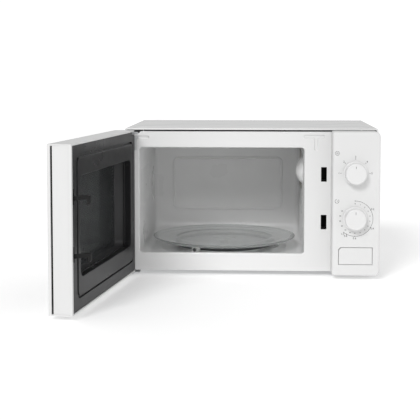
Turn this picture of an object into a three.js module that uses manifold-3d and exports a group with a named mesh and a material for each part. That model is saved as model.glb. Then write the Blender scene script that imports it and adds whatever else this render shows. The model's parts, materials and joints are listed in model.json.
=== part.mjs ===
// A countertop microwave oven, built as the separate pieces it comes apart into.
// Millimetres. X runs to the right, Y to the back, Z up. While the pieces are shaped,
// x = 0 is the cabinet's left side, y = 0 the face of the front plate, z = 0 the table.
// The last lines move the whole oven so that the middle of its footprint is the origin.
import * as THREE from 'three';
import { mergeVertices } from 'three/addons/utils/BufferGeometryUtils.js';
import Module from 'manifold-3d';

const wasm = await Module();
wasm.setup();

// ---------- driving dimensions ----------

const cabinetWidth = 452;
const bodyDepth = 298;         // front plate to rear panel
const faceHeight = 253;        // door and control panel
const footHeight = 8;
const coverRise = 4.8;         // cover top above the door's top edge
const frontDepth = 37.5;       // door and control panel, front to back
const doorGap = 2;             // closed door to front plate
const panelWidth = 83.2;
const panelGap = 1.5;          // closed door to control panel
const doorOpening = 98.1;      // degrees, as it stands open
const sheet = 1;               // steel sheet
const wall = 2.4;              // moulded plastic wall
const fit = 0.3;               // between pieces that touch

const cavityWidth = 295.3;
const cavityHeight = 190;      // of the mouth
const cavityDepth = 284;
const cavityLeft = 26;         // mouth from the cabinet's left side
const sillHeight = 32;         // mouth above the base
const floorDrop = 11;          // cavity floor below the mouth's sill
const cavityCorner = 5;
const backSweep = 30;          // radius where the floor turns up into the back wall

const glassDiameter = 272;
const glassThickness = 4.6;
const glassRim = 8;            // rim above the underside
const rollerCircle = 100;      // radius that the rollers run on
const rollerRadius = 7;
const rollerWidth = 8;
const ringTurn = 0.5;          // degrees, first roller from +X

const hingeInset = 9.7;        // hinge axis from the left side
const hingeSetback = 11;       // hinge axis in front of the plate
const pinRadius = 2.5;
const bracketSheet = 2;

const hookInset = 13;          // hook from the closed door's free edge, measured from the panel side
const hookThick = 4;
const hookReach = 26;          // past the door's inner face
const hookLow = 79;            // lower hook's tip above the base
const hookPitch = 85.7;        // lower hook to upper hook
const slotHeight = 26;
const slotWidth = 10;

const knobRadius = 21.6;
const knobReach = 18;
const shaftRadius = 3;
const powerKnobHeight = 180.8; // above the base
const timerKnobHeight = 101.2;
const knobInset = 43.4;        // knob axis from the right side

const buttonWidth = 59.4;
const buttonHeight = 30.6;
const buttonLow = 19.6;        // above the base
const buttonInset = 12.5;      // from the right side
const leverPivot = 66;         // above the base

const fanRadius = 45;
const fanHeight = 150;         // fan axis above the base

// ---------- levels and places worked out from them ----------

const base = footHeight;
const faceTop = base + faceHeight;
const coverTop = faceTop + coverRise;
const plateTop = faceTop - 2;
const faceFront = -doorGap - frontDepth;
const doorBack = -doorGap;
const panelLeft = cabinetWidth - panelWidth;
const doorRight = panelLeft - panelGap;
const doorLeft = 1.5;
const doorLow = base - 1;
const cavityRight = cavityLeft + cavityWidth;
const mouthLow = base + sillHeight;
const mouthTop = mouthLow + cavityHeight;
const cavityFloor = mouthLow - floorDrop;
const cavityBack = sheet + fit + cavityDepth;
const tableX = cavityLeft + cavityWidth / 2;
const tableY = sheet + fit + cavityDepth / 2;
const rollerAxis = cavityFloor + fit + rollerRadius;
const glassUnder = rollerAxis + rollerRadius + fit;
const hookX = doorRight - hookInset + hookThick / 2;
const slotX = hookX;
const bayLeft = cavityRight + sheet;
const bayRight = cabinetWidth - sheet;
const knobX = cabinetWidth - knobInset;
const fanX = bayRight - fanRadius - 9;
const fanZ = base + fanHeight;

// ---------- shaping ----------

function solidOf(geometry) {
  const bare = geometry.clone();
  bare.deleteAttribute('normal');
  bare.deleteAttribute('uv');
  const merged = mergeVertices(bare, 1e-4);
  return new wasm.Manifold(new wasm.Mesh({
    numProp: 3,
    vertProperties: new Float32Array(merged.attributes.position.array),
    triVerts: new Uint32Array(merged.index.array),
  }));
}

function geometryOf(solid) {
  const mesh = solid.getMesh();
  const geometry = new THREE.BufferGeometry();
  geometry.setAttribute('position', new THREE.BufferAttribute(mesh.vertProperties, 3));
  geometry.setIndex(new THREE.BufferAttribute(mesh.triVerts, 1));
  geometry.computeVertexNormals();
  return geometry;
}

const join = (first, ...rest) => rest.reduce((sum, next) => sum.add(next), first);
const cut = (first, ...rest) => rest.reduce((sum, next) => sum.subtract(next), first);

// A block between two corners.
function block(x0, x1, y0, y1, z0, z1) {
  const geometry = new THREE.BoxGeometry(x1 - x0, y1 - y0, z1 - z0);
  geometry.translate((x0 + x1) / 2, (y0 + y1) / 2, (z0 + z1) / 2);
  return solidOf(geometry);
}

// How an outline's own X, Y and depth lie for a prism along each axis.
const lay = {
  x: new THREE.Matrix4().makeBasis(
    new THREE.Vector3(0, 1, 0), new THREE.Vector3(0, 0, 1), new THREE.Vector3(1, 0, 0)),
  y: new THREE.Matrix4().makeBasis(
    new THREE.Vector3(1, 0, 0), new THREE.Vector3(0, 0, 1), new THREE.Vector3(0, -1, 0)),
  z: new THREE.Matrix4(),
};

// An outline drawn across an axis and run along it: (y, z) along x, (x, z) along y, (x, y) along z.
// Each arc in it becomes the given number of straight steps, which is twice its curveSegments.
function prism(axis, outline, from, to, steps = 4) {
  const geometry = new THREE.ExtrudeGeometry(outline, {
    depth: to - from, bevelEnabled: false, curveSegments: steps / 2,
  });
  geometry.applyMatrix4(lay[axis]);
  if (axis === 'x') geometry.translate(from, 0, 0);
  if (axis === 'y') geometry.translate(0, to, 0);
  if (axis === 'z') geometry.translate(0, 0, from);
  return solidOf(geometry);
}

// A rectangle whose corners are rounded by one radius, or by four from lower left round to upper
// left. A radius of 0 leaves a sharp corner.
function rounded(u0, u1, v0, v1, radius) {
  const radii = Array.isArray(radius) ? radius : [radius, radius, radius, radius];
  const corners = [[u0, v0, 1, 1], [u1, v0, -1, 1], [u1, v1, -1, -1], [u0, v1, 1, -1]];
  const shape = new THREE.Shape();
  corners.forEach(([u, v, toU, toV], i) => {
    const r = radii[i];
    const start = Math.PI + i * Math.PI / 2;
    if (r > 0) shape.absarc(u + toU * r, v + toV * r, r, start, start + Math.PI / 2);
    else if (i === 0) shape.moveTo(u, v);
    else shape.lineTo(u, v);
  });
  return shape;
}

const polygon = points => new THREE.Shape(points.map(([u, v]) => new THREE.Vector2(u, v)));

const disc = (u, v, radius) => new THREE.Shape().absarc(u, v, radius, 0, Math.PI * 2);

// A rod along an axis. Its centre is given across the axis, in the order that prism uses.
const rod = (axis, u, v, radius, from, to, sides = 20) =>
  prism(axis, disc(u, v, radius), from, to, sides);

// A profile of [radius, height] points turned about the vertical through (x, y), or with
// forward set about a level axis, where the heights run to the front from the place (x, z).
function turned(points, sides, x, y, z, forward = false) {
  let area = 0;
  points.forEach(([r, h], i) => {
    const [r2, h2] = points[(i + 1) % points.length];
    area += r * h2 - r2 * h;
  });
  const ordered = area > 0 ? points : [...points].reverse();
  const profile = ordered.map(([r, h]) => new THREE.Vector2(r, h));
  const geometry = new THREE.LatheGeometry(profile, sides);
  geometry.rotateX(Math.PI / 2);
  if (forward) geometry.rotateX(Math.PI / 2);
  geometry.translate(x, y, z);
  return solidOf(geometry);
}

// ---------- finishes ----------

const finish = (color, roughness, metalness = 0) =>
  new THREE.MeshStandardMaterial({ color, roughness, metalness });

const whitePaint = finish(0xf0f0ee, 0.35);
const cavityPaint = finish(0xb9bab9, 0.4);
const whitePlastic = finish(0xf4f4f2, 0.4);
const darkPlastic = finish(0x2c2d2f, 0.45);
const blackPaint = finish(0x18191b, 0.5);
const zinc = finish(0xb9bcbe, 0.35, 0.9);
const ironCore = finish(0x5d5f63, 0.5, 0.7);
const clearGlass = finish(0xdfe8e6, 0.05);
const tintedGlass = finish(0x101214, 0.08);
const rubberGrey = finish(0x3a3b3c, 0.8);
const motorBlack = finish(0x222326, 0.5);
const amberMica = finish(0xcbb58d, 0.5);
const boardGreen = finish(0x2f6b45, 0.5);

function part(name, solid, material) {
  const mesh = new THREE.Mesh(geometryOf(solid), material);
  mesh.name = name;
  return mesh;
}

// ---------- cabinet: sheet metal ----------

const coverCorner = 4;
const hemDrop = 3.2;
const louvreCount = 8;
const louvrePitch = 9;

// A wrap of one sheet over the top and both sides, with cooling slots near its rear edge.
function outerCover() {
  const outside = rounded(0, cabinetWidth, base, coverTop, [0, 0, coverCorner, coverCorner]);
  const inside = rounded(sheet, cabinetWidth - sheet, base - 1, coverTop - sheet,
    [0, 0, coverCorner - sheet, coverCorner - sheet]);
  const wrap = cut(prism('y', outside, 0, bodyDepth), prism('y', inside, -1, bodyDepth + 1));
  const hem = block(coverCorner, cabinetWidth - coverCorner, 0, sheet, coverTop - hemDrop,
    coverTop - sheet / 2);
  const slots = [];
  for (let i = 0; i < louvreCount; i += 1) {
    const y = bodyDepth - 30 - i * louvrePitch;
    slots.push(block(-1, cabinetWidth + 1, y - 2, y + 2, coverTop - 75, coverTop - 35));
  }
  return cut(join(wrap, hem), ...slots);
}

// A tray with turned-up sides. The slots let air in under the transformer.
function basePlate() {
  const left = sheet + fit;
  const right = cabinetWidth - sheet - fit;
  const front = sheet + fit;
  const back = bodyDepth - sheet - fit;
  const floor = block(left, right, front, back, base, base + sheet);
  const flanges = [
    block(left, left + sheet, front, back, base, base + 10),
    block(right - sheet, right, front, back, base, base + 10),
  ];
  const slots = [];
  for (let i = 0; i < 6; i += 1) {
    const x = bayLeft + 30 + i * 14;
    slots.push(block(x - 2.5, x + 2.5, front + 30, front + 48, base - 1, base + sheet + 1));
  }
  return cut(join(floor, ...flanges), ...slots);
}

const ventRows = 8;
const ventPitch = 9;
const glandRadius = 6;
const glandX = cabinetWidth - 40;
const glandZ = base + 24;

function rearPanel() {
  const left = sheet + fit;
  const right = cabinetWidth - sheet - fit;
  const outline = rounded(left, right, base, coverTop - sheet - fit, [0, 0, coverCorner, coverCorner]);
  const panel = prism('y', outline, bodyDepth - sheet, bodyDepth);
  const holes = [rod('y', glandX, glandZ, glandRadius, bodyDepth - 3, bodyDepth + 2)];
  for (let i = 0; i < ventRows; i += 1) {
    const z = fanZ + (i - (ventRows - 1) / 2) * ventPitch;
    const half = Math.sqrt(fanRadius ** 2 - (z - fanZ) ** 2) - 4;
    holes.push(block(fanX - half, fanX + half, bodyDepth - 3, bodyDepth + 1, z - 2.2, z + 2.2));
    const exhaustZ = base + 150 + i * ventPitch;
    holes.push(block(60, 105, bodyDepth - 3, bodyDepth + 1, exhaustZ - 2, exhaustZ + 2));
  }
  return cut(panel, ...holes);
}

const tongueLow = faceTop - 5.5;         // upper hinge tongue's underside
const tongueFromDoor = 2;                // lower hinge tongue below the door
const leverSlotLow = leverPivot - 12;
const leverSlotHigh = leverPivot + 14;
const leverX = panelLeft + wall + 1;
const leverWidth = 8;

// The white face around the cavity's mouth, with the latch slots and the upper hinge's notch.
function frontPlate() {
  const left = sheet + fit;
  const right = cabinetWidth - sheet - fit;
  const plate = block(left, right, 0, sheet, base, plateTop);
  const flange = block(left, right, 0, 9, plateTop - sheet, plateTop);
  const mouth = rounded(cavityLeft, cavityRight, mouthLow, mouthTop, cavityCorner);
  const notch = polygon([[left + 1, tongueLow - 2], [cavityLeft - 3, tongueLow - 2],
    [cavityLeft + 3, plateTop + 2], [left + 1, plateTop + 2]]);
  const holes = [prism('y', mouth, -2, 3), prism('y', notch, -2, 12)];
  [0, hookPitch].forEach(rise => {
    const low = base + hookLow - 3 + rise;
    holes.push(block(slotX - slotWidth / 2, slotX + slotWidth / 2, -2, 3, low, low + slotHeight));
  });
  holes.push(block(leverX - 2, leverX + leverWidth + 2, -2, 3, base + leverSlotLow, base + leverSlotHigh));
  return cut(join(plate, flange), ...holes);
}

const domeRadius = 26;
const domeRise = 13;
const domeY = 75;
const domeZ = base + 176;
const portLow = base + 140;
const portHeight = 60;
const portFront = 135;
const portBack = 205;

// The space inside the cavity, grown outward by a margin.
function cavityForm(margin, front) {
  const mouth = rounded(cavityLeft - margin, cavityRight + margin, cavityFloor - margin,
    mouthTop + margin, cavityCorner + margin);
  const side = new THREE.Shape();
  const back = cavityBack + margin;
  const low = cavityFloor - margin;
  const sweep = backSweep + margin;
  side.moveTo(front, mouthLow - margin);
  side.lineTo(10, mouthLow - margin);
  side.lineTo(10 + floorDrop, low);
  side.absarc(back - sweep, low + sweep, sweep, -Math.PI / 2, 0);
  side.lineTo(back, mouthTop + margin);
  side.lineTo(front, mouthTop + margin);
  const across = prism('x', side, cavityLeft - margin, cavityRight + margin, 8);
  return prism('y', mouth, front, back).intersect(across);
}

// The cooking cavity: a folded box with a swept rear corner, a lamp dome, a port for the
// microwaves and a hole for the turntable's shaft.
function cavityShell() {
  const front = sheet + fit;
  const walls = cut(cavityForm(sheet, front), cavityForm(0, front - 1));
  const ball = (domeRadius ** 2 + domeRise ** 2) / (2 * domeRise);
  const centre = cavityRight - domeRise + ball;
  const sphere = radius => {
    const geometry = new THREE.SphereGeometry(radius, 24, 14);
    geometry.translate(centre, domeY, domeZ);
    return solidOf(geometry);
  };
  const half = block(cavityRight - domeRise - 2, cavityRight + sheet, domeY - 40, domeY + 40,
    domeZ - 40, domeZ + 40);
  const domed = cut(join(walls, sphere(ball).intersect(half)), sphere(ball - sheet));
  const holes = [
    block(cavityRight - 1, cavityRight + 3, portFront, portBack, portLow, portLow + portHeight),
    rod('z', tableX, tableY, 6, cavityFloor - 3, cavityFloor + 3),
  ];
  return cut(domed, ...holes);
}

const roundedEnd = (x, y, half, back) => {
  const shape = new THREE.Shape();
  shape.absarc(x, y, half, Math.PI, Math.PI * 2);
  shape.lineTo(x + half, back);
  shape.lineTo(x - half, back);
  return shape;
};

const tongueHalf = 7;

function upperBracket() {
  const leg = block(hingeInset - tongueHalf, cavityLeft - sheet - 2 * fit, sheet + fit,
    sheet + fit + bracketSheet, tongueLow - 45, tongueLow + bracketSheet);
  const end = roundedEnd(hingeInset, -hingeSetback, tongueHalf, sheet + fit + bracketSheet);
  const tongue = prism('z', end, tongueLow, tongueLow + bracketSheet, 12);
  const bore = rod('z', hingeInset, -hingeSetback, pinRadius - fit, tongueLow - 1, tongueLow + 4, 16);
  return cut(join(leg, tongue), bore);
}

function lowerBracket() {
  const top = doorLow - tongueFromDoor;
  const low = top - bracketSheet;
  const end = roundedEnd(hingeInset, -hingeSetback, tongueHalf, 14);
  const tongue = prism('z', end, low, top, 12);
  const wide = block(hingeInset - tongueHalf, cavityLeft, -2, 14, low, top);
  const riser = block(hingeInset - tongueHalf, cavityLeft, 12, 14, low, base - fit);
  const pad = block(hingeInset - tongueHalf, cavityLeft, 12, 40, base - fit - bracketSheet, base - fit);
  const bore = rod('z', hingeInset, -hingeSetback, pinRadius - fit, low - 1, top + 1, 16);
  return cut(join(tongue, wide, riser, pad), bore);
}

// A shouldered pin: a thin spigot in the bracket and a full shank in the door.
function hingePin(shoulder, spigotEnd, shankEnd) {
  const spigot = rod('z', hingeInset, -hingeSetback, pinRadius - 2 * fit,
    Math.min(shoulder, spigotEnd), Math.max(shoulder, spigotEnd), 16);
  const shank = rod('z', hingeInset, -hingeSetback, pinRadius,
    Math.min(shoulder, shankEnd), Math.max(shoulder, shankEnd), 16);
  return join(spigot, shank);
}

const footRadius = 11;

function foot(x, y) {
  return turned([[0, 0], [footRadius - 2, 0], [footRadius, 2], [footRadius - 1, base - fit],
    [0, base - fit]], 24, x, y, 0);
}

// ---------- cabinet: control panel and latch board ----------

const panelCorner = 8;
const panelEdge = 4.5;
const knobBore = shaftRadius + 1.5;
const leverPin = 2;
const leverHub = 5;
const leverAxisY = -14;

// A moulded box, open at the back, that holds the timer, the power switch and the door button.
function controlPanel() {
  const right = cabinetWidth;
  const face = rounded(panelLeft, right, base, faceTop, [1.5, panelCorner, panelCorner, 1.5]);
  const plan = rounded(panelLeft, right, faceFront, -fit, [1.5, panelEdge, 0, 0]);
  const outside = prism('y', face, faceFront, -fit).intersect(prism('z', plan, base, faceTop));
  const hollow = rounded(panelLeft + wall, right - wall, base + wall, faceTop - wall,
    [1, panelCorner - wall, panelCorner - wall, 1]);
  const axisZ = base + leverPivot;
  const pin = rod('x', leverAxisY, axisZ, leverPin, panelLeft + wall / 2, leverX + leverWidth + 3, 16);
  const buttonRight = right - buttonInset;
  const low = base + buttonLow;
  const aperture = buttonOutline(buttonRight, low, 0);
  return cut(
    join(cut(outside, prism('y', hollow, faceFront + wall, 1)), pin),
    rod('y', knobX, base + powerKnobHeight, knobBore, faceFront - 1, faceFront + 5),
    rod('y', knobX, base + timerKnobHeight, knobBore, faceFront - 1, faceFront + 5),
    prism('y', aperture, faceFront - 1, faceFront + 5),
  );
}

// The door button's outline with its cut-off upper left corner, shrunk by a margin.
function buttonOutline(right, low, margin) {
  const left = right - buttonWidth + margin;
  const high = low + buttonHeight - margin;
  return polygon([[left, low + margin], [right - margin, low + margin], [right - margin, high],
    [left + 4, high], [left, high - 4]]);
}

const hookY = doorBack + hookReach;      // tip of the closed door's hooks
const hookTip = 5.5;
const strikeY = hookY - hookTip - 7.5;
const boardBack = hookY + 6;
const boardLeft = slotX - 15;
const boardRight = slotX + 14;
const boardLow = base + hookLow - 18;
const boardHigh = base + hookLow + hookPitch + 32;

// The bracket behind the latch slots. Each hook drops behind a strike on it.
function latchBoard() {
  const pieces = [
    block(boardLeft, boardRight, boardBack, boardBack + wall, boardLow, boardHigh),
    block(boardLeft, boardLeft + wall, sheet + fit, boardBack + 1, boardLow, boardHigh),
    block(boardLeft, boardRight, sheet + fit, boardBack + 1, boardHigh - wall, boardHigh),
  ];
  [0, hookPitch].forEach(rise => {
    const top = base + hookLow - 0.5 + rise;
    pieces.push(block(boardLeft + 1, hookX + hookThick, strikeY, strikeY + 6, top - 6, top));
  });
  return join(...pieces);
}

function microswitch(z, x) {
  const front = boardBack + wall + fit;
  const body = block(x, x + 10, front, front + 16, z, z + 28);
  const terminals = [0, 9, 18].map(up => block(x + 4, x + 6, front + 15, front + 21, z + 3 + up, z + 7 + up));
  return join(body, ...terminals);
}

// ---------- cabinet: electrical pieces ----------

const timerHalf = 24;
const switchHalf = 18;

function clockwork(z, half, back) {
  const front = faceFront + wall + 0.6;
  const gears = block(knobX - half, knobX + half, front, back, z - half, z + half);
  const collar = rod('y', knobX, z, 8, back - 1, back + 2);
  const tabs = block(knobX - half - 4, knobX + half + 4, front, front + 1.5, z - 6, z + 6);
  return join(gears, collar, tabs);
}

const magnetronLeft = bayLeft + 24;

// Yoke, cooling fins, aerial and filter box, as one bench piece.
function magnetron() {
  const front = portFront - 10;
  const back = portBack;
  const low = portLow - 7;
  const high = portLow + portHeight + 12;
  const middleY = (front + back) / 2;
  const middleZ = (low + high) / 2;
  const depth = 54;
  const pieces = [
    block(magnetronLeft, magnetronLeft + depth, front, back, low, low + 2),
    block(magnetronLeft, magnetronLeft + depth, front, back, high - 2, high),
    block(magnetronLeft, magnetronLeft + 2, front, back, low, high),
    block(magnetronLeft + depth - 2, magnetronLeft + depth, front, back, low, high),
    rod('x', middleY, middleZ, 17, magnetronLeft, magnetronLeft + depth),
    rod('x', middleY, middleZ, 9, magnetronLeft - 18, magnetronLeft + 1),
    block(magnetronLeft + depth - 1, bayRight - 8, middleY - 25, middleY + 25, middleZ - 22, middleZ + 22),
  ];
  for (let i = 0; i < 6; i += 1) {
    const x = magnetronLeft + 8 + i * 7.5;
    pieces.push(block(x, x + 0.8, front + 8, back - 8, low + 1, high - 1));
  }
  return join(...pieces);
}

// A folded channel on the cavity's side wall, open towards the port and round the aerial.
function waveguide() {
  const left = bayLeft + fit;
  const right = magnetronLeft - fit;
  const low = portLow - 8;
  const high = portLow + portHeight + 14;
  const outside = block(left, right, portFront - 12, portBack + 12, low, high);
  const inside = block(left - 1, right - sheet, portFront - 11, portBack + 11, low + sheet, high - sheet);
  const aerial = rod('x', (portFront - 10 + portBack) / 2, portLow + portHeight / 2 + 2.5, 11,
    right - 3, right + 1);
  return cut(outside, inside, aerial);
}

function waveguideCover() {
  const right = cavityRight - fit;
  const plate = rounded(portFront - 6, portBack + 6, portLow - 6, portLow + portHeight + 6, 4);
  return prism('x', plate, right - 0.6, right);
}

const transformerLeft = bayLeft + 28;

function transformer() {
  const low = base + sheet + fit;
  const front = 58;
  const core = block(transformerLeft, transformerLeft + 86, front, front + 46, low, low + 72);
  const windings = rounded(transformerLeft + 18, transformerLeft + 68, low + 14, low + 58, 8);
  const feet = block(transformerLeft - 4, transformerLeft + 90, front, front + 46, low, low + 2);
  return join(core, prism('y', windings, front - 16, front + 62), feet);
}

const capacitorFront = 172;

function capacitor() {
  const low = base + sheet + fit;
  const can = prism('x', rounded(capacitorFront, capacitorFront + 54, low, low + 35, 17),
    transformerLeft, transformerLeft + 88, 6);
  const blades = [18, 36].map(y => block(transformerLeft - 8, transformerLeft + 1,
    capacitorFront + y - 3, capacitorFront + y + 3, low + 15, low + 16));
  return join(can, ...blades);
}

function highVoltageDiode() {
  const low = base + sheet + fit;
  const y = capacitorFront - 12;
  const body = rod('x', y, low + 5, 4, transformerLeft + 10, transformerLeft + 34, 16);
  const lug = block(transformerLeft + 33, transformerLeft + 48, y - 4, y + 4, low, low + 6);
  return join(body, lug);
}

// Mains filter: a board with a choke coil, a capacitor and a fuse.
function filterBoard() {
  const left = bayLeft + 28;
  const low = portLow + portHeight + 24;
  const board = block(left, left + 84, 206, 264, low, low + 1.6);
  const coil = turned([[7, 0], [13, 0], [13, 12], [7, 12], [7, 0]], 24, left + 24, 236, low + 1.2);
  const film = block(left + 46, left + 72, 218, 232, low + 1, low + 16);
  const fuse = rod('x', 250, low + 5, 3.4, left + 44, left + 74, 12);
  const clips = block(left + 46, left + 72, 248, 252, low + 1, low + 4);
  return join(board, coil, film, fuse, clips);
}

function thermalCutout() {
  const low = mouthTop + sheet + fit;
  const x = cavityRight - 70;
  const body = rod('z', x, 200, 8, low, low + 9);
  return join(body, block(x - 12, x + 12, 197, 203, low, low + 1.5));
}

const fanBack = bodyDepth - sheet - 10;
const fanDepth = 16;
const shroudFront = fanBack - fanDepth - 6;
const shroudHalf = fanRadius + 5;

function fanShroud() {
  const back = bodyDepth - sheet - fit;
  const box = block(fanX - shroudHalf, fanX + shroudHalf, shroudFront, back,
    fanZ - shroudHalf, fanZ + shroudHalf);
  const bore = rod('y', fanX, fanZ, fanRadius + 2, shroudFront - 1, back + 1, 40);
  const strut = block(fanX - shroudHalf + 1, fanX + shroudHalf - 1, shroudFront, shroudFront + 2,
    fanZ - 9, fanZ + 9);
  const axle = rod('y', fanX, fanZ, 4, shroudFront - 1, shroudFront + 3);
  return cut(join(cut(box, bore), strut), axle);
}

const motorFront = shroudFront - 27;

// A shaded-pole motor: laminated frame, coil and a shaft that carries the wheel.
function fanMotor() {
  const back = shroudFront - fit;
  const stack = block(fanX - 24, fanX + 24, motorFront + 6, back - 6, fanZ - 22, fanZ + 24);
  const window = block(fanX - 9, fanX + 9, motorFront, back + 1, fanZ + 11, fanZ + 18);
  const coil = prism('x', rounded(motorFront, back - 1, fanZ - 30, fanZ - 12, 4), fanX - 15, fanX + 15);
  const bearing = rod('y', fanX, fanZ, 9, motorFront + 2, back);
  const straps = block(fanX - 22, fanX + 22, back - 7, back, fanZ - 4, fanZ + 4);
  return join(cut(stack, window), coil, bearing, straps);
}

function fanWheel() {
  const front = fanBack - fanDepth;
  const hub = rod('y', fanX, fanZ, 11, front, fanBack, 24);
  const shaft = rod('y', fanX, fanZ, 2.5, shroudFront, front + 1, 12);
  const blades = [];
  for (let i = 0; i < 5; i += 1) {
    const blade = new THREE.BoxGeometry(fanRadius - 9, 26, 1.6);
    blade.rotateX(THREE.MathUtils.degToRad(58));
    blade.translate(9 + (fanRadius - 9) / 2 - 0.5, 0, 0);
    const spin = new THREE.Matrix4().makeRotationY(i * Math.PI * 2 / 5);
    blade.applyMatrix4(spin);
    blade.translate(fanX, (front + fanBack) / 2, fanZ);
    blades.push(solidOf(blade));
  }
  const swept = rod('y', fanX, fanZ, fanRadius, front, fanBack, 32);
  return join(hub, shaft, ...blades.map(blade => blade.intersect(swept)));
}

// The duct that leads the fan's air onto the magnetron's fins.
function airDuct() {
  const front = portBack + 12 + fit;
  const back = shroudFront - fit;
  const half = shroudHalf - 1;
  const outside = block(fanX - half, fanX + half, front, back, fanZ - half, fanZ + half);
  const inside = block(fanX - half + 1.5, fanX + half - 1.5, front - 1, back + 1,
    fanZ - half + 1.5, fanZ + half - 1.5);
  return cut(outside, inside);
}

const lampLeft = cavityRight + 4;

function cavityLamp() {
  const bulb = [[0, 0], [6, 1.5], [9.5, 7], [10, 14], [6.5, 21], [6.5, 30], [0, 30]];
  const geometry = new THREE.LatheGeometry(bulb.map(([r, h]) => new THREE.Vector2(r, h)), 20);
  geometry.rotateZ(-Math.PI / 2);
  geometry.translate(lampLeft, domeY, domeZ);
  return solidOf(geometry);
}

function lampHolder() {
  const left = lampLeft + 24;
  const cup = rod('x', domeY, domeZ, 11, left, left + 16);
  const bore = rod('x', domeY, domeZ, 6.5 + fit, left - 1, left + 6 + fit);
  const bracket = block(left + 12, left + 14, domeY - 30, domeY + 16, domeZ - 12, domeZ + 12);
  return cut(join(cup, bracket), bore);
}

function turntableMotor() {
  const low = base + sheet + 1.5;
  const body = rod('z', tableX, tableY, 24, low, low + 15, 32);
  const ears = block(tableX - 31, tableX + 31, tableY - 5, tableY + 5, low + 13.5, low + 15);
  return join(body, ears);
}

function cordGland() {
  const back = bodyDepth + 2 + fit;
  return turned([[2.5, 0], [8, 0], [8, 2], [glandRadius - fit, 2 + fit], [glandRadius - fit, 7],
    [2.5, 7], [2.5, 0]], 24, glandX, back, glandZ, true);
}

// ---------- door ----------

const frameEdge = 5;           // free edge wall, and the rim of the door's skin
const grooveWidth = 3;
const doorCorner = 9;          // back corner at the hinge, which has to swing past the plate
const windowLeft = 36;
const windowRight = 324;
const windowLow = base + 50;
const windowHigh = base + 203;
const windowCorner = 12;
const lipDepth = 13;           // window lip behind the door's inner face
const screenY = doorBack - 31;
const panSheet = 0.8;
const coverRight = doorRight - frameEdge - fit;

// The white moulded shell of the door: skin, four side walls, and bushes for the hinge pins.
function doorFrame() {
  const plan = rounded(doorLeft, doorRight, faceFront, doorBack, [1.5, 1.5, 1, doorCorner]);
  const inner = rounded(doorLeft + wall, doorRight - frameEdge, faceFront + wall, doorBack + 9,
    [1, 1, 0, 0]);
  const shell = cut(prism('z', plan, doorLow, faceTop, 6),
    prism('z', inner, doorLow + wall, faceTop - wall));
  const opening = rounded(windowLeft + 4, windowRight + 2, windowLow - 4, windowHigh + 4, 8);
  const groove = faceFront + frameEdge;
  const bushes = [
    rod('z', hingeInset, -hingeSetback, 6, doorLow + 1, doorLow + 9),
    rod('z', hingeInset, -hingeSetback, 6, faceTop - 3.2, faceTop - 1),
  ];
  return cut(
    join(shell, ...bushes),
    prism('y', opening, faceFront - 1, faceFront + wall + 1),
    block(doorRight - 2.6, doorRight + 1, groove, groove + grooveWidth, doorLow + 2, faceTop - 2),
    block(doorRight - 1, doorRight + 1, groove + 1, doorBack - 3.5, doorLow + 2, faceTop - 2),
    rod('z', hingeInset, -hingeSetback, pinRadius + fit, doorLow - 1, doorLow + 10, 16),
    rod('z', hingeInset, -hingeSetback, pinRadius + fit, faceTop - 4, faceTop + 1, 16),
    block(doorLeft - 1, hingeInset + tongueHalf + 3, -hingeSetback - tongueHalf - 2, 0,
      tongueLow - 2, tongueLow + bracketSheet + fit),
  );
}

function doorFrontWindow() {
  const pane = rounded(windowLeft + 4 + fit, windowRight + 2 - fit, windowLow - 4 + fit,
    windowHigh + 4 - fit, 8 - fit);
  return prism('y', pane, faceFront + 0.3, faceFront + wall);
}

// The steel pan whose flat middle is the perforated screen.
function doorScreen() {
  const middle = [windowLeft - 6, windowRight + 6, windowLow - 6, windowHigh + 6];
  const flangeBack = doorBack - lipDepth - fit;
  const flange = prism('y', rounded(hingeInset + tongueHalf + 4, coverRight - 12, doorLow + 6,
    faceTop - 6, 6), flangeBack - panSheet, flangeBack);
  const dish = prism('y', rounded(...middle, windowCorner + 4), screenY, flangeBack);
  const [x0, x1, z0, z1] = middle;
  const hollow = prism('y', rounded(x0 + panSheet, x1 - panSheet, z0 + panSheet, z1 - panSheet,
    windowCorner + 4 - panSheet), screenY + panSheet, doorBack);
  return cut(join(flange, dish), hollow);
}

function innerWindow() {
  const inset = 6 - panSheet - fit;
  const pane = rounded(windowLeft - inset, windowRight + inset, windowLow - inset,
    windowHigh + inset, windowCorner + 4 - panSheet - fit);
  return prism('y', pane, screenY + panSheet + fit, screenY + panSheet + fit + 1);
}

// The dark plastic trim over the choke, with a raised field that meets the cavity's mouth.
function chokeCover() {
  const left = doorLeft + wall + fit;
  const low = doorLow + wall + fit;
  const high = faceTop - wall - fit;
  const plan = rounded(left, coverRight, doorBack - 8, doorBack - 0.4, [0, 0, 0.5, doorCorner - 2]);
  const outside = prism('z', plan, low, high, 6);
  const hollow = prism('y', rounded(left + 1.6, coverRight - 1.6, low + 1.6, high - 1.6, 1),
    doorBack - 9, doorBack - 2.4);
  const lip = prism('y', rounded(windowLeft - 2, windowRight + 2, windowLow - 2, windowHigh + 2,
    windowCorner + 2), doorBack - lipDepth, doorBack - 1);
  const field = prism('y', rounded(20, coverRight - 26, windowLow - 28, windowHigh + 28, 8),
    doorBack - 2, doorBack);
  const opening = prism('y', rounded(windowLeft, windowRight, windowLow, windowHigh, windowCorner),
    doorBack - lipDepth - 1, doorBack + 1);
  const cuts = [opening];
  [0, hookPitch].forEach(rise => {
    const bottom = base + hookLow + rise;
    cuts.push(block(hookX - hookThick / 2 - 1, hookX + hookThick / 2 + 1, doorBack - 10, doorBack + 1,
      bottom - 2, bottom + 22));
  });
  cuts.push(block(left - 1, hingeInset + tongueHalf + 3, doorBack - 10, doorBack + 1,
    tongueLow - 2, tongueLow + bracketSheet + 2));
  cuts.push(rod('z', hingeInset, -hingeSetback, 6 + fit, low - 1, doorLow + 9 + fit));
  return cut(join(cut(outside, hollow), lip, field), ...cuts);
}

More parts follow.
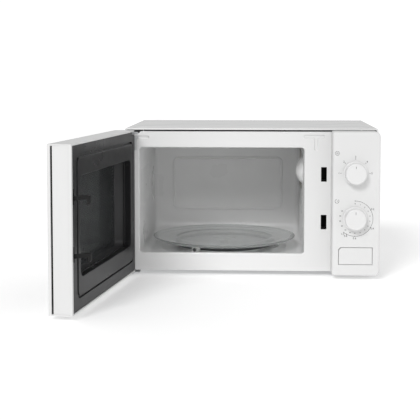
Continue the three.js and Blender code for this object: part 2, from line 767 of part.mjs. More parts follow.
const latchBarFront = doorBack - 22;
const latchBarBack = doorBack - 11;
const latchBarLow = base + hookLow - 17;

// Two hooks on one bar that slides up and down inside the door's free edge.
function latchHooks() {
  const bar = block(hookX - hookThick / 2, hookX + hookThick / 2, latchBarFront, latchBarBack,
    latchBarLow, base + hookLow + hookPitch + 24);
  const hooks = [0, hookPitch].map(rise => {
    const tip = base + hookLow + rise;
    const outline = polygon([[latchBarBack - 1, tip + 3], [hookY - hookTip, tip + 7.5],
      [hookY - hookTip, tip], [hookY - 2, tip], [hookY, tip + 3], [hookY, tip + 13],
      [hookY - hookTip - 2, tip + 13.5], [latchBarBack - 1, tip + 10]]);
    return prism('x', outline, hookX - hookThick / 2, hookX + hookThick / 2);
  });
  return join(bar, ...hooks);
}

const latchDown = 3;

function latchSpring() {
  return rod('z', hookX, (latchBarFront + latchBarBack) / 2, 3.2, latchBarLow - 30,
    latchBarLow - latchDown - fit, 12);
}

// ---------- door button and release lever ----------

const stemEnd = leverAxisY - 10;

function openButton() {
  const right = cabinetWidth - buttonInset;
  const low = base + buttonLow;
  const cap = prism('y', buttonOutline(right, low, 0.7), faceFront, faceFront + 3.2);
  const stem = block(leverX, leverX + leverWidth, faceFront + 3, stemEnd, base + leverPivot - 39,
    base + leverPivot - 36.5);
  const bridge = block(leverX, right - buttonWidth + 8, faceFront + 3, faceFront + 6,
    base + leverPivot - 40, base + leverPivot - 34);
  const rib = block(right - 42, right - 6, faceFront + 3, faceFront + 7, low + 8, low + 22);
  return join(cap, stem, bridge, rib);
}

function buttonSpring() {
  const x = cabinetWidth - buttonInset - 24;
  return rod('y', x, base + buttonLow + 15, 4, faceFront + 7 + fit, -fit, 12);
}

// A bell crank: the button pushes its lower arm back and its rear arm lifts the hooks.
function releaseLever() {
  const axisZ = base + leverPivot;
  const bar = [hookY - 5, hookY + 1, axisZ + 3.5, axisZ + 7.5];
  const outline = polygon([
    [leverAxisY - 4, axisZ - 2], [stemEnd + fit, axisZ - 40], [stemEnd + fit + 3, axisZ - 40],
    [leverAxisY + 4, axisZ - 3], [bar[1], axisZ + 1.5], [bar[1], bar[3]],
    [leverAxisY, axisZ + leverHub - 0.5]]);
  const arms = prism('x', outline, leverX, leverX + leverWidth);
  const hub = rod('x', leverAxisY, axisZ, leverHub, leverX, leverX + leverWidth, 24);
  const lifter = block(hookX - hookThick / 2, leverX + leverWidth / 2, ...bar);
  const bore = rod('x', leverAxisY, axisZ, leverPin + fit, leverX - 1, leverX + leverWidth + 1, 20);
  return cut(join(arms, hub, lifter), bore);
}

// ---------- knobs ----------

const skirtDepth = 4;
const knobCap = 18.4;

function knob(height) {
  const z = base + height;
  const front = faceFront - fit;
  const body = turned([[0, 0], [knobRadius, 0], [knobRadius, skirtDepth - 1], [knobRadius - 1, skirtDepth],
    [knobCap, skirtDepth], [knobCap - 0.8, knobReach - 2], [knobCap - 2.6, knobReach], [0, knobReach]],
  40, knobX, front, z, true);
  const bore = rod('y', knobX, z, shaftRadius + fit, front - 10, front + 1, 20);
  return cut(body, bore);
}

function knobShaft(height) {
  return rod('y', knobX, base + height, shaftRadius, faceFront - 9, faceFront + wall + fit, 20);
}

// ---------- turntable ----------

const couplerRadius = 22;

function glassPlate() {
  const edge = glassDiameter / 2;
  const low = glassUnder;
  const dish = turned([[0, low], [edge - 22, low], [edge - 8, low + 1.6], [edge, low + glassRim - 1.6],
    [edge, low + glassRim], [edge - 3, low + glassRim], [edge - 10, low + 1.6 + glassThickness],
    [edge - 23, low + glassThickness], [0, low + glassThickness]], 72, tableX, tableY, 0);
  const lugs = [0, 1, 2].map(i => {
    const geometry = new THREE.BoxGeometry(7, 4, 3);
    geometry.translate(couplerRadius - 4, 0, low - 1);
    geometry.rotateZ(THREE.MathUtils.degToRad(ringTurn + 60 + i * 120));
    geometry.translate(tableX, tableY, 0);
    return solidOf(geometry);
  });
  return join(dish, ...lugs);
}

// A three-armed hub on the motor's shaft that drives the glass by its lugs.
function driveCoupler() {
  const top = glassUnder - fit;
  const arms = [0, 1, 2].map(i => {
    const geometry = new THREE.BoxGeometry(couplerRadius, 9, 5);
    geometry.translate(couplerRadius / 2, 0, top - 2.5);
    geometry.rotateZ(THREE.MathUtils.degToRad(ringTurn + i * 120));
    geometry.translate(tableX, tableY, 0);
    return solidOf(geometry);
  });
  const stem = rod('z', tableX, tableY, 8, cavityFloor + 1, top, 20);
  const shaft = rod('z', tableX, tableY, 3, base + sheet + 16.5 + fit, cavityFloor + 2, 16);
  return join(stem, shaft, ...arms);
}

const rollerTurn = i => ringTurn + i * 120;

function radialRod(angle, radius, from, to, sides) {
  const geometry = new THREE.CylinderGeometry(radius, radius, to - from, sides);
  geometry.rotateZ(-Math.PI / 2);
  geometry.translate((from + to) / 2, 0, rollerAxis);
  geometry.rotateZ(THREE.MathUtils.degToRad(angle));
  geometry.translate(tableX, tableY, 0);
  return solidOf(geometry);
}

const rollerIn = rollerCircle - rollerWidth / 2;
const rollerOut = rollerCircle + rollerWidth / 2;

function rollerRing() {
  const outer = rollerIn - 3;
  const band = turned([[outer - 8, rollerAxis - 2.2], [outer, rollerAxis - 2.2], [outer, rollerAxis + 2.2],
    [outer - 8, rollerAxis + 2.2], [outer - 8, rollerAxis - 2.2]], 60, tableX, tableY, 0);
  const axles = [0, 1, 2].map(i => join(
    radialRod(rollerTurn(i), 2.2, outer - 2, rollerOut + fit + 1, 14),
    radialRod(rollerTurn(i), 3.4, rollerOut + fit, rollerOut + fit + 1.4, 14),
    radialRod(rollerTurn(i), 3.4, outer - 2, rollerIn - fit, 14)));
  return join(band, ...axles);
}

const roller = i => cut(radialRod(rollerTurn(i), rollerRadius, rollerIn, rollerOut, 28),
  radialRod(rollerTurn(i), 2.2 + fit, rollerIn - 1, rollerOut + 1, 14));

// ---------- assembly ----------

const cabinet = new THREE.Group();
cabinet.add(
  part('outer_cover', outerCover(), whitePaint),
  part('base_plate', basePlate(), zinc),
  part('rear_panel', rearPanel(), zinc),
  part('front_plate', frontPlate(), whitePaint),
  part('cavity_shell', cavityShell(), cavityPaint),
  part('control_panel', controlPanel(), whitePlastic),
  part('hinge_bracket_upper', upperBracket(), zinc),
  part('hinge_bracket_lower', lowerBracket(), zinc),
  part('hinge_pin_upper', hingePin(tongueLow + bracketSheet + fit, tongueLow, faceTop - 0.5), zinc),
  part('hinge_pin_lower', hingePin(doorLow - tongueFromDoor + fit, doorLow - tongueFromDoor - bracketSheet,
    doorLow + 8), zinc),
  part('latch_board', latchBoard(), darkPlastic),
  part('primary_switch', microswitch(base + hookLow + hookPitch - 4, boardLeft + 3), motorBlack),
  part('secondary_switch', microswitch(base + hookLow - 4, boardLeft + 3), motorBlack),
  part('monitor_switch', microswitch(base + hookLow + 36, boardLeft + 3), motorBlack),
  part('timer_unit', clockwork(base + timerKnobHeight, timerHalf, -4), motorBlack),
  part('power_switch', clockwork(base + powerKnobHeight, switchHalf, -12), motorBlack),
  part('magnetron', magnetron(), zinc),
  part('waveguide', waveguide(), zinc),
  part('waveguide_cover', waveguideCover(), amberMica),
  part('transformer', transformer(), ironCore),
  part('capacitor', capacitor(), zinc),
  part('high_voltage_diode', highVoltageDiode(), motorBlack),
  part('filter_board', filterBoard(), boardGreen),
  part('thermal_cutout', thermalCutout(), motorBlack),
  part('fan_shroud', fanShroud(), darkPlastic),
  part('fan_motor', fanMotor(), ironCore),
  part('air_duct', airDuct(), darkPlastic),
  part('cavity_lamp', cavityLamp(), clearGlass),
  part('lamp_holder', lampHolder(), whitePlastic),
  part('turntable_motor', turntableMotor(), zinc),
  part('cord_gland', cordGland(), motorBlack),
  part('button_spring', buttonSpring(), zinc),
);
const footX = 50;
const footY = 62;
[['front_left', footX, footY], ['front_right', cabinetWidth - footX, footY],
  ['rear_left', footX, bodyDepth - 45], ['rear_right', cabinetWidth - footX, bodyDepth - 45],
].forEach(([place, x, y]) => cabinet.add(part(`foot_${place}`, foot(x, y), rubberGrey)));

const latch = new THREE.Group();
latch.add(part('latch_hooks', latchHooks(), blackPaint));

// The door is shaped closed, then turned open about the hinge pins.
const doorPieces = new THREE.Group();
doorPieces.position.set(-hingeInset, hingeSetback, 0);
doorPieces.add(
  part('door_frame', doorFrame(), whitePlastic),
  part('door_front_window', doorFrontWindow(), tintedGlass),
  part('door_screen', doorScreen(), blackPaint),
  part('inner_window', innerWindow(), clearGlass),
  part('choke_cover', chokeCover(), darkPlastic),
  part('latch_spring', latchSpring(), zinc),
  latch,
);
const door = new THREE.Group();
door.position.set(hingeInset, -hingeSetback, 0);
door.rotation.z = -THREE.MathUtils.degToRad(doorOpening);
door.add(doorPieces);

const button = new THREE.Group();
button.add(part('open_button', openButton(), whitePlastic));
const lever = new THREE.Group();
lever.add(part('release_lever', releaseLever(), whitePlastic));

const knobs = new THREE.Group();
knobs.add(
  part('power_knob', knob(powerKnobHeight), whitePlastic),
  part('power_shaft', knobShaft(powerKnobHeight), zinc),
  part('timer_knob', knob(timerKnobHeight), whitePlastic),
  part('timer_shaft', knobShaft(timerKnobHeight), zinc),
);

const table = new THREE.Group();
table.add(
  part('glass_plate', glassPlate(), clearGlass),
  part('drive_coupler', driveCoupler(), whitePlastic),
  part('roller_ring', rollerRing(), darkPlastic),
);
for (let i = 0; i < 3; i += 1) table.add(part(`roller_${i + 1}`, roller(i), whitePlastic));

const fan = new THREE.Group();
fan.add(part('fan_wheel', fanWheel(), darkPlastic));

const oven = new THREE.Group();
oven.add(cabinet, door, button, lever, knobs, table, fan);
oven.updateMatrixWorld(true);
const extent = new THREE.Box3().setFromObject(oven, true);
oven.position.set(-(extent.min.x + extent.max.x) / 2, -(extent.min.y + extent.max.y) / 2, -extent.min.z);

export default oven;
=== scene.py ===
import json
import math

import bmesh
import bpy
from mathutils import Matrix, Vector

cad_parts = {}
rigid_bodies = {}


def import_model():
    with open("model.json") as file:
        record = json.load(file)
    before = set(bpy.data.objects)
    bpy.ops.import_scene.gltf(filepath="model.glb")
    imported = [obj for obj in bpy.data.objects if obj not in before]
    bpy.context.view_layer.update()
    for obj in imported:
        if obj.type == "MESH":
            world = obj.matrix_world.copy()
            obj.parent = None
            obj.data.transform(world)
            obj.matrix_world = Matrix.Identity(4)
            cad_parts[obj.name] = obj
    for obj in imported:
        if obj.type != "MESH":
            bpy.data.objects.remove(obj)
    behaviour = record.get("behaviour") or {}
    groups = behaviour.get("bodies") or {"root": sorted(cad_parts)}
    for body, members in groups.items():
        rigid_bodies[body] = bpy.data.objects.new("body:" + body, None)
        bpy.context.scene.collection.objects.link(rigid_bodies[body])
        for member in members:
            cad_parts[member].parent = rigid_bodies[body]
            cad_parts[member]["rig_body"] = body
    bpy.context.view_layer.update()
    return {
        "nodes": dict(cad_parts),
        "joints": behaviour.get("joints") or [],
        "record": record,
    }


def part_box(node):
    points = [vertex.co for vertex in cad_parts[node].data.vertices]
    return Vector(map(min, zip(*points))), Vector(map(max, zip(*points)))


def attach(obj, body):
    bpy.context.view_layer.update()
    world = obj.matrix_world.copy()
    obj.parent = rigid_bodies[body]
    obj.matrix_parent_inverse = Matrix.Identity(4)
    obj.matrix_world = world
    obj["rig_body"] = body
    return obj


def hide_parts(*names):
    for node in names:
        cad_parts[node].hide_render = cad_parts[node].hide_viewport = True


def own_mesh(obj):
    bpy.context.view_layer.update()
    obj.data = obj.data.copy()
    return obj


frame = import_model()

# The oven is shaped in millimetres from its lower left front corner, and the door as it is
# when shut. These two matrices bring that into the frame, the second with the door standing open.
mm = 0.001
corner = Vector((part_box("outer_cover")[0].x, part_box("front_plate")[0].y, 0))
inPlace = Matrix.Translation(corner) @ Matrix.Diagonal((mm, mm, mm, 1))
hinge = next(j for j in frame["joints"] if j["name"] == "door_hinge")
hingePin = Matrix.Translation(Vector(hinge["pos_m"]))
swing = Matrix.Rotation(math.radians(hinge["range_deg"][0]), 4, "Z")
doorPlace = hingePin @ swing @ hingePin.inverted() @ inPlace
slotOf = {part["node"]: part["material_slot"] for part in frame["record"]["subparts"]}


# lowest and highest corner of a node in those millimetres
def span(node, place=inPlace):
    back = place.inverted()
    points = [back @ v.co for v in frame["nodes"][node].data.vertices]
    low = Vector([min(p[i] for p in points) for i in range(3)])
    high = Vector([max(p[i] for p in points) for i in range(3)])
    return low, high


cover = span("outer_cover")
plate = span("front_plate")
cavity = span("cavity_shell")
panel = span("control_panel")
door = span("door_frame", doorPlace)
trim = span("choke_cover", doorPlace)
glassBox = span("glass_plate")
sheet = 1.0
sillRise = 32       # from the underside of the front to the mouth's lower edge
mouthDepth = 2.4    # where the plate's lip meets the cavity
hookPitch = 85.7    # one latch hook above the other
slopeWidth = 6      # how wide the edge of a large pressed panel slopes
base = panel[0].z
faceTop = panel[1].z
faceFront = panel[0].y
print("frame loaded:", len(frame["nodes"]), "nodes")

# places far in front of the oven and far behind it, towards which an open sheet shows its good side
farAhead = (226, -2000, 130)
farInside = (180, 2000, 130)

# ---- outlines ----


def rectangle(u0, u1, v0, v1):
    return [(u0, v0), (u1, v0), (u1, v1), (u0, v1)]


# every corner of a counterclockwise outline turned into an arc
def eased(points, radius, steps=5):
    radii = radius if isinstance(radius, (list, tuple)) else [radius] * len(points)
    loop = []
    for i, r in enumerate(radii):
        here = Vector(points[i])
        before = (Vector(points[i - 1]) - here).normalized()
        after = (Vector(points[(i + 1) % len(points)]) - here).normalized()
        half = before.angle(after) / 2
        middle = here + (before + after).normalized() * (r / math.sin(half))
        arm = here + before * (r / math.tan(half)) - middle
        end = here + after * (r / math.tan(half)) - middle
        start = math.atan2(arm.y, arm.x)
        sweep = (math.atan2(end.y, end.x) - start + math.pi) % (2 * math.pi) - math.pi
        for k in range(steps + 1):
            angle = start + sweep * k / steps
            loop.append((middle.x + r * math.cos(angle), middle.y + r * math.sin(angle)))
    return loop


def easedBox(u0, u1, v0, v1, radius, steps=5):
    return eased(rectangle(u0, u1, v0, v1), radius, steps)


def circle(u, v, radius, sides=48):
    turn = 2 * math.pi / sides
    return [(u + radius * math.cos(k * turn), v + radius * math.sin(k * turn)) for k in range(sides)]


# the same outline moved inwards by a distance
def inset(loop, by):
    moved = []
    for i, point in enumerate(loop):
        here = Vector(point)
        into = (here - Vector(loop[i - 1])).normalized()
        out = (Vector(loop[(i + 1) % len(loop)]) - here).normalized()
        n1, n2 = Vector((-into.y, into.x)), Vector((-out.y, out.x))
        step = (n1 + n2) * (by / (1 + n1.dot(n2)))
        moved.append((here.x + step.x, here.y + step.y))
    return moved


margin = 0.25    # a narrow flat strip beside every rounded edge keeps the shade of the flat beyond it


# rings of an outline that slopes softly from one level to another
def ramp(loop, level, rise, slope, steps=5):
    rings = [(inset(loop, -margin), level)]
    for k in range(steps + 1):
        t = k / steps
        rings.append((inset(loop, slope * t), level + rise * t * t * (3 - 2 * t)))
    return rings + [(inset(loop, slope + margin), level + rise)]


# rings round an edge: from the outline back at "level" over a quarter circle onto the face
def overEdge(loop, level, radius, side=1, steps=4):
    rings = []
    for k in range(steps + 1):
        angle = math.pi / 2 * k / steps
        by, rise = radius * (1 - math.cos(angle)), radius * math.sin(angle)
        rings.append((inset(loop, by), level + side * rise))
    return rings + [(inset(loop, radius + margin), level + side * radius)]


# rings from a face over a quarter circle into an opening
def intoEdge(loop, level, radius, side=1, steps=4):
    rings = [(inset(loop, -radius - margin), level)]
    for k in range(steps + 1):
        angle = math.pi / 2 * k / steps
        by, rise = radius * math.sin(angle) - radius, radius * (1 - math.cos(angle))
        rings.append((inset(loop, by), level + side * rise))
    return rings


# ---- meshes ----

layOut = {
    "x": lambda u, v, w: (w, u, v),
    "y": lambda u, v, w: (u, w, v),
    "z": lambda u, v, w: (u, v, w),
}


def ringsOf(bm, axis, rings):
    made = []
    for loop, level in rings:
        made.append([bm.verts.new(layOut[axis](u, v, level)) for u, v in loop])
    for a, b in zip(made, made[1:]):
        bridge(bm, a, b)
    return made


def bridge(bm, a, b, skip=(), shut=True):
    count = len(a) if shut else len(a) - 1
    for i in range(count):
        if i not in skip:
            j = (i + 1) % len(a)
            bm.faces.new((a[i], a[j], b[j], b[i]))


# a feature that goes through: its rings stay open
def hole(rings):
    return {"rings": rings, "open": True}


# A flat stretch inside a ring of vertices. Each feature in it is a run of rings, open at its end
# or filled again with features of its own.
def flat(bm, axis, outer, features=()):
    borders = [outer]
    for feature in features:
        made = ringsOf(bm, axis, feature["rings"])
        borders.append(made[0])
        if not feature.get("open"):
            flat(bm, axis, made[-1], feature.get("inside", ()))
    edges = []
    for ring in borders:
        for a, b in zip(ring, ring[1:] + ring[:1]):
            edges.append(bm.edges.get((a, b)) or bm.edges.new((a, b)))
    bmesh.ops.triangle_fill(bm, use_beauty=True, use_dissolve=False, edges=edges)


# rings closed with a flat face at both ends
def slab(bm, axis, rings):
    made = ringsOf(bm, axis, rings)
    flat(bm, axis, made[0])
    flat(bm, axis, made[-1])


# a closed profile of (radius, height) turned about the axis through (u, v)
def turned(bm, axis, profile, u, v, sides=64):
    rings = []
    for radius, height in profile:
        if radius < 1e-6:
            rings.append([bm.verts.new(layOut[axis](u, v, height))])
        else:
            rings.append([bm.verts.new(layOut[axis](a, b, height)) for a, b in circle(u, v, radius, sides)])
    for a, b in zip(rings, rings[1:]):
        for i in range(sides):
            j = (i + 1) % sides
            if len(a) == 1:
                bm.faces.new((a[0], b[j], b[i]))
            elif len(b) == 1:
                bm.faces.new((a[i], a[j], b[0]))
            else:
                bm.faces.new((a[i], a[j], b[j], b[i]))


# a profile with its corners eased, both ends on the axis
def easedProfile(points, radius, steps=3):
    out = [points[0]]
    for i in range(1, len(points) - 1):
        here = Vector(points[i])
        before, after = Vector(points[i - 1]) - here, Vector(points[i + 1]) - here
        reach = min(radius, before.length * 0.45, after.length * 0.45)
        a, b = here + before.normalized() * reach, here + after.normalized() * reach
        for k in range(steps + 1):
            t = k / steps
            p = a * (1 - t) ** 2 + here * (2 * t * (1 - t)) + b * t * t
            out.append((p.x, p.y))
    out.append(points[-1])
    return out


def newObject(name, data):
    obj = bpy.data.objects.new(name, data)
    bpy.context.scene.collection.objects.link(obj)
    return obj


# an object's shape with its modifiers or lettering worked out, as a mesh of its own
def plainMesh(obj):
    bpy.context.view_layer.update()
    return bpy.data.meshes.new_from_object(obj.evaluated_get(bpy.context.evaluated_depsgraph_get()))


def asObject(bm, name, smooth=40):
    mesh = bpy.data.meshes.new(name)
    bm.to_mesh(mesh)
    bm.free()
    return shownAs(mesh, name, smooth)


def shownAs(mesh, name, smooth):
    mesh.polygons.foreach_set("use_smooth", [True] * len(mesh.polygons))
    mesh.set_sharp_from_angle(angle=math.radians(smooth))
    return newObject(name, mesh)


def softenEdges(obj, width, segments=2, angle=35):
    bevel = obj.modifiers.new("edges", "BEVEL")
    bevel.width = width * mm
    bevel.segments = segments
    bevel.limit_method = "ANGLE"
    bevel.angle_limit = math.radians(angle)
    bevel.harden_normals = True


# flat faces keep their own shade right up to a rounded edge
def evenShade(obj):
    shade = obj.modifiers.new("shade", "WEIGHTED_NORMAL")
    shade.weight = 100
    shade.keep_sharp = True


# what the piece rides on, and the nodes that it stands for, which are hidden
def listed(obj, body, stands=()):
    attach(obj, body)
    if stands:
        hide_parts(*stands)
    return obj


# turns a shaped mesh into a finished piece; "seenFrom" says which way an open sheet faces
def piece(bm, name, body, slot, place=inPlace, stands=(), seenFrom=None, thick=0, edge=0, smooth=40):
    bmesh.ops.remove_doubles(bm, verts=bm.verts, dist=1e-3)
    bmesh.ops.recalc_face_normals(bm, faces=bm.faces)
    if seenFrom is not None:
        eye = Vector(seenFrom)
        shown = 0
        for face in bm.faces:
            shown += face.calc_area() * face.normal.dot((eye - face.calc_center_median()).normalized())
        if shown < 0:
            bmesh.ops.reverse_faces(bm, faces=bm.faces)
    bm.transform(place)
    obj = asObject(bm, name, smooth)
    obj.data.materials.append(finishes[slot])
    if thick:
        wall = obj.modifiers.new("wall", "SOLIDIFY")
        wall.thickness = thick * mm
        wall.offset = -1
    if edge:
        softenEdges(obj, edge)
    else:
        evenShade(obj)
    return listed(obj, body, stands)


# a node kept in shape, with its flat faces made whole and its edges eased
def polished(node, edge):
    words = node.split("_")
    name = words[0] + "".join(w.capitalize() for w in words[1:])
    bm = bmesh.new()
    bm.from_mesh(frame["nodes"][node].data)
    bmesh.ops.remove_doubles(bm, verts=bm.verts, dist=2e-6)
    bmesh.ops.dissolve_limit(bm, angle_limit=math.radians(1), verts=bm.verts, edges=bm.edges)
    obj = asObject(bm, name)
    obj.data.materials.append(finishes[slotOf[node]])
    softenEdges(obj, edge)
    listed(obj, frame["nodes"][node]["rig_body"], [node])


# ---- finishes ----


def node(tree, kind, inputs=(), **settings):
    made = tree.nodes.new(kind)
    for key, value in settings.items():
        setattr(made, key, value)
    for key, value in dict(inputs).items():
        made.inputs[key].default_value = value
    return made


# One procedural finish. "patch" is broad drift of tone and gloss, "grain" the fine relief that
# catches light, both in features per metre; "stretch" draws the grain out along an axis.
def makeFinish(name, look):
    material = bpy.data.materials.new(name)
    material.use_nodes = True
    tree = material.node_tree
    shader = tree.nodes["Principled BSDF"]
    tone = look["tone"]
    rough = look["rough"]
    shader.inputs["Metallic"].default_value = look.get("metal", 0)
    for socket, value in look.get("sockets", {}).items():
        shader.inputs[socket].default_value = value
    link = tree.links.new
    where = node(tree, "ShaderNodeTexCoord")
    stretch = node(tree, "ShaderNodeMapping", {"Scale": look.get("stretch", (1, 1, 1))})
    link(where.outputs["Object"], stretch.inputs["Vector"])
    patchScale, toneDrift, roughDrift = look.get("patch", (14, 0.03, 0.05))
    patch = node(tree, "ShaderNodeTexNoise", {"Scale": patchScale, "Detail": 4, "Roughness": 0.55})
    link(where.outputs["Object"], patch.inputs["Vector"])
    mix = node(tree, "ShaderNodeMix", data_type="RGBA")
    mix.inputs[6].default_value = (*tone, 1)
    mix.inputs[7].default_value = (*[c * (1 - toneDrift) for c in tone], 1)
    link(patch.outputs["Fac"], mix.inputs[0])
    link(mix.outputs[2], shader.inputs["Base Color"])
    gloss = node(tree, "ShaderNodeMapRange", {"From Min": 0.3, "From Max": 0.7,
                 "To Min": max(0.02, rough - roughDrift), "To Max": rough + roughDrift})
    link(patch.outputs["Fac"], gloss.inputs["Value"])
    link(gloss.outputs["Result"], shader.inputs["Roughness"])
    grainScale, grainDepth = look.get("grain", (900, 0.00002))
    kind = look.get("grainKind", "ShaderNodeTexNoise")
    grain = node(tree, kind, {"Scale": grainScale})
    link(stretch.outputs["Vector"], grain.inputs["Vector"])
    bump = node(tree, "ShaderNodeBump", {"Strength": look.get("relief", 0.5), "Distance": grainDepth})
    link(grain.outputs["Distance" if "Voronoi" in kind else "Fac"], bump.inputs["Height"])
    link(bump.outputs["Normal"], shader.inputs["Normal"])
    return material


def grey(value):
    return value, value, value


looks = {
    "white_paint": {"tone": (0.70, 0.70, 0.698), "rough": 0.22, "patch": (9, 0.015, 0.04),
                    "grain": (420, 0.00003), "relief": 0.25,
                    "sockets": {"Coat Weight": 0.25, "Coat Roughness": 0.12}},
    "cavity_paint": {"tone": (0.80, 0.80, 0.798), "rough": 0.3, "patch": (12, 0.03, 0.04),
                     "grain": (650, 0.00001), "relief": 0.08},
    "white_plastic": {"tone": (0.69, 0.69, 0.688), "rough": 0.42, "patch": (8, 0.012, 0.04),
                      "grain": (1500, 0.00006), "relief": 0.4},
    "knob_plastic": {"tone": (0.71, 0.71, 0.708), "rough": 0.32, "patch": (20, 0.01, 0.03),
                     "grain": (1800, 0.00003), "relief": 0.3},
    "choke_plastic": {"tone": (0.017, 0.017, 0.018), "rough": 0.3, "patch": (10, 0.15, 0.05),
                      "grain": (1400, 0.00004), "relief": 0.3, "sockets": {"Specular IOR Level": 0.16}},
    "screen_enamel": {"tone": (0.055, 0.055, 0.057), "rough": 0.45, "patch": (30, 0.2, 0.06),
                      "grain": (900, 0.00003), "relief": 0.4},
    "window_tint": {"tone": (0.012, 0.012, 0.013), "rough": 0.06, "patch": (6, 0.1, 0.02),
                    "grain": (60, 0.00002), "relief": 0.15,
                    "sockets": {"Transmission Weight": 0.35, "IOR": 1.5}},
    "window_clear": {"tone": (0.93, 0.95, 0.95), "rough": 0.05, "patch": (6, 0.03, 0.02),
                     "grain": (40, 0.00003), "relief": 0.2,
                     "sockets": {"Transmission Weight": 1.0, "IOR": 1.04}},
    "turntable_glass": {"tone": (0.95, 0.97, 0.965), "rough": 0.05, "patch": (15, 0.02, 0.02),
                        "grain": (120, 0.0001), "relief": 0.2,
                        "sockets": {"Transmission Weight": 0.84, "IOR": 1.25}},
    "roller_ring_plastic": {"tone": (0.045, 0.045, 0.047), "rough": 0.4, "patch": (20, 0.15, 0.08)},
    "roller_plastic": {"tone": (0.8, 0.8, 0.79), "rough": 0.38, "patch": (40, 0.03, 0.06)},
    "latch_black": {"tone": (0.008, 0.008, 0.008), "rough": 0.4, "patch": (40, 0.2, 0.06),
                    "sockets": {"Specular IOR Level": 0.2}},
    "zinc_steel": {"tone": (0.62, 0.63, 0.64), "rough": 0.34, "metal": 1, "patch": (45, 0.22, 0.1),
                   "grain": (260, 0.00003), "grainKind": "ShaderNodeTexVoronoi", "relief": 0.25},
    "spring_steel": {"tone": (0.5, 0.5, 0.52), "rough": 0.3, "metal": 1, "patch": (80, 0.15, 0.08)},
    "foot_rubber": {"tone": (0.06, 0.06, 0.062), "rough": 0.75, "patch": (50, 0.2, 0.08),
                    "grain": (1200, 0.0001), "relief": 0.5},
    "motor_black": {"tone": (0.03, 0.03, 0.032), "rough": 0.45, "patch": (40, 0.2, 0.08)},
    "duct_plastic": {"tone": (0.07, 0.07, 0.072), "rough": 0.5, "patch": (25, 0.15, 0.06)},
    "iron_core": {"tone": (0.16, 0.16, 0.17), "rough": 0.5, "metal": 0.7, "patch": (60, 0.3, 0.12),
                  "grain": (1500, 0.0001), "stretch": (1, 0.03, 0.03)},
    "magnetron_metal": {"tone": (0.7, 0.71, 0.72), "rough": 0.28, "metal": 1, "patch": (50, 0.12, 0.08),
                        "grain": (900, 0.00003), "stretch": (0.05, 1, 1)},
    "mica": {"tone": (0.46, 0.43, 0.38), "rough": 0.4, "patch": (90, 0.25, 0.1),
             "grain": (500, 0.00005), "grainKind": "ShaderNodeTexVoronoi"},
    "board_green": {"tone": (0.04, 0.17, 0.08), "rough": 0.4, "patch": (60, 0.25, 0.08)},
    "lamp_glass": {"tone": (0.95, 0.95, 0.93), "rough": 0.05, "patch": (30, 0.03, 0.02),
                   "sockets": {"Transmission Weight": 1.0, "IOR": 1.45}},
    "lamp_socket": {"tone": (0.75, 0.74, 0.7), "rough": 0.5, "patch": (60, 0.1, 0.08)},
}
finishes = {slot: makeFinish(slot + "_finish", look) for slot, look in looks.items()}
ink = makeFinish("print_ink", {"tone": grey(0.04), "rough": 0.5, "patch": (200, 0.2, 0.1)})
print("finishes made:", len(finishes) + 1)

# ---- cabinet ----

coverLook = {"corner": 4, "raise": 1.0, "hem": 3, "bend": 1.4, "border": 13, "panelCorner": 14,
             "slotCount": 8, "slotPitch": 9, "slotWidth": 4, "slotLow": 75, "slotHigh": 35, "fromBack": 30}


def coverSkin(look):
    width, depth, high = cover[1].x, cover[1].y, cover[1].z - look["raise"]
    r = look["corner"]

    # the wrap's section from hem to hem, pulled in by a distance
    def section(by):
        turn = [math.pi / 2 * k / 5 for k in range(6)]
        left = [(r - (r - by) * math.cos(a), high - r + (r - by) * math.sin(a)) for a in turn]
        right = [(width - x, z) for x, z in reversed(left)]
        return [(by, base), *left, *right, (width - by, base)]

    stations = [(look["hem"], 0), (look["bend"], 0)]
    for k in range(1, 5):
        angle = math.pi / 2 * k / 4
        stations.append((look["bend"] * (1 - math.sin(angle)), look["bend"] * (1 - math.cos(angle))))
    stations.append((0, depth))
    bm = bmesh.new()
    rows = [[bm.verts.new((x, y, z)) for x, z in section(by)] for by, y in stations]
    middle, last = 6, len(rows[0]) - 2
    for a, b in zip(rows, rows[1:]):
        skip = (0, middle, last) if b is rows[-1] else ()
        bridge(bm, a, b, skip, shut=False)
    a, b = rows[-2:]
    edge = look["border"]
    raised = easedBox(edge, width - edge, edge, depth - edge, look["panelCorner"], 8)
    flat(bm, "z", [a[middle], a[middle + 1], b[middle + 1], b[middle]],
         [{"rings": ramp(raised, high, look["raise"], slopeWidth)}])
    for i, x, inward in ((0, 0, 1), (last, width, -1)):
        slots = []
        for k in range(look["slotCount"]):
            y = depth - look["fromBack"] - k * look["slotPitch"]
            half = look["slotWidth"] / 2
            slot = easedBox(y - half, y + half, high - look["slotLow"], high - look["slotHigh"], half - 0.1)
            slots.append(hole(intoEdge(inset(slot, 0.5), x, 0.5, inward, 2)))
        flat(bm, "x", [a[i], a[i + 1], b[i + 1], b[i]], slots)
    return piece(bm, "coverSkin", "cabinet", "white_paint", stands=["outer_cover"],
                 seenFrom=(width / 2, -2000, 3000), thick=0.8, edge=0.2)


plateLook = {"edge": 1.2, "hem": 2.0, "corner": 1.3, "notchRight": 23, "notchTop": 29,
             "notchDrop": 7.5, "lip": 2.0, "mouthCorner": 5, "grooveDepth": 1.9, "grooveSlope": 1.5,
             "slotRise": 76, "slotTop": 26, "slotHalf": 5, "slotCorner": 0.6, "slotEdge": 0.4,
             "slotDepth": 1.4}
tees = [{"x0": 320, "x1": 358, "rise": 242, "legX": 342, "legRise": 217, "width": 7},
        {"x0": 9, "x1": 44, "rise": 240.2, "legX": 18.5, "legRise": 216, "width": 6}]
teeRound = {"outer": 2.9, "inner": 0.9}
hookBox = span("latch_hooks", doorPlace)
slotX = (hookBox[0].x + hookBox[1].x) / 2


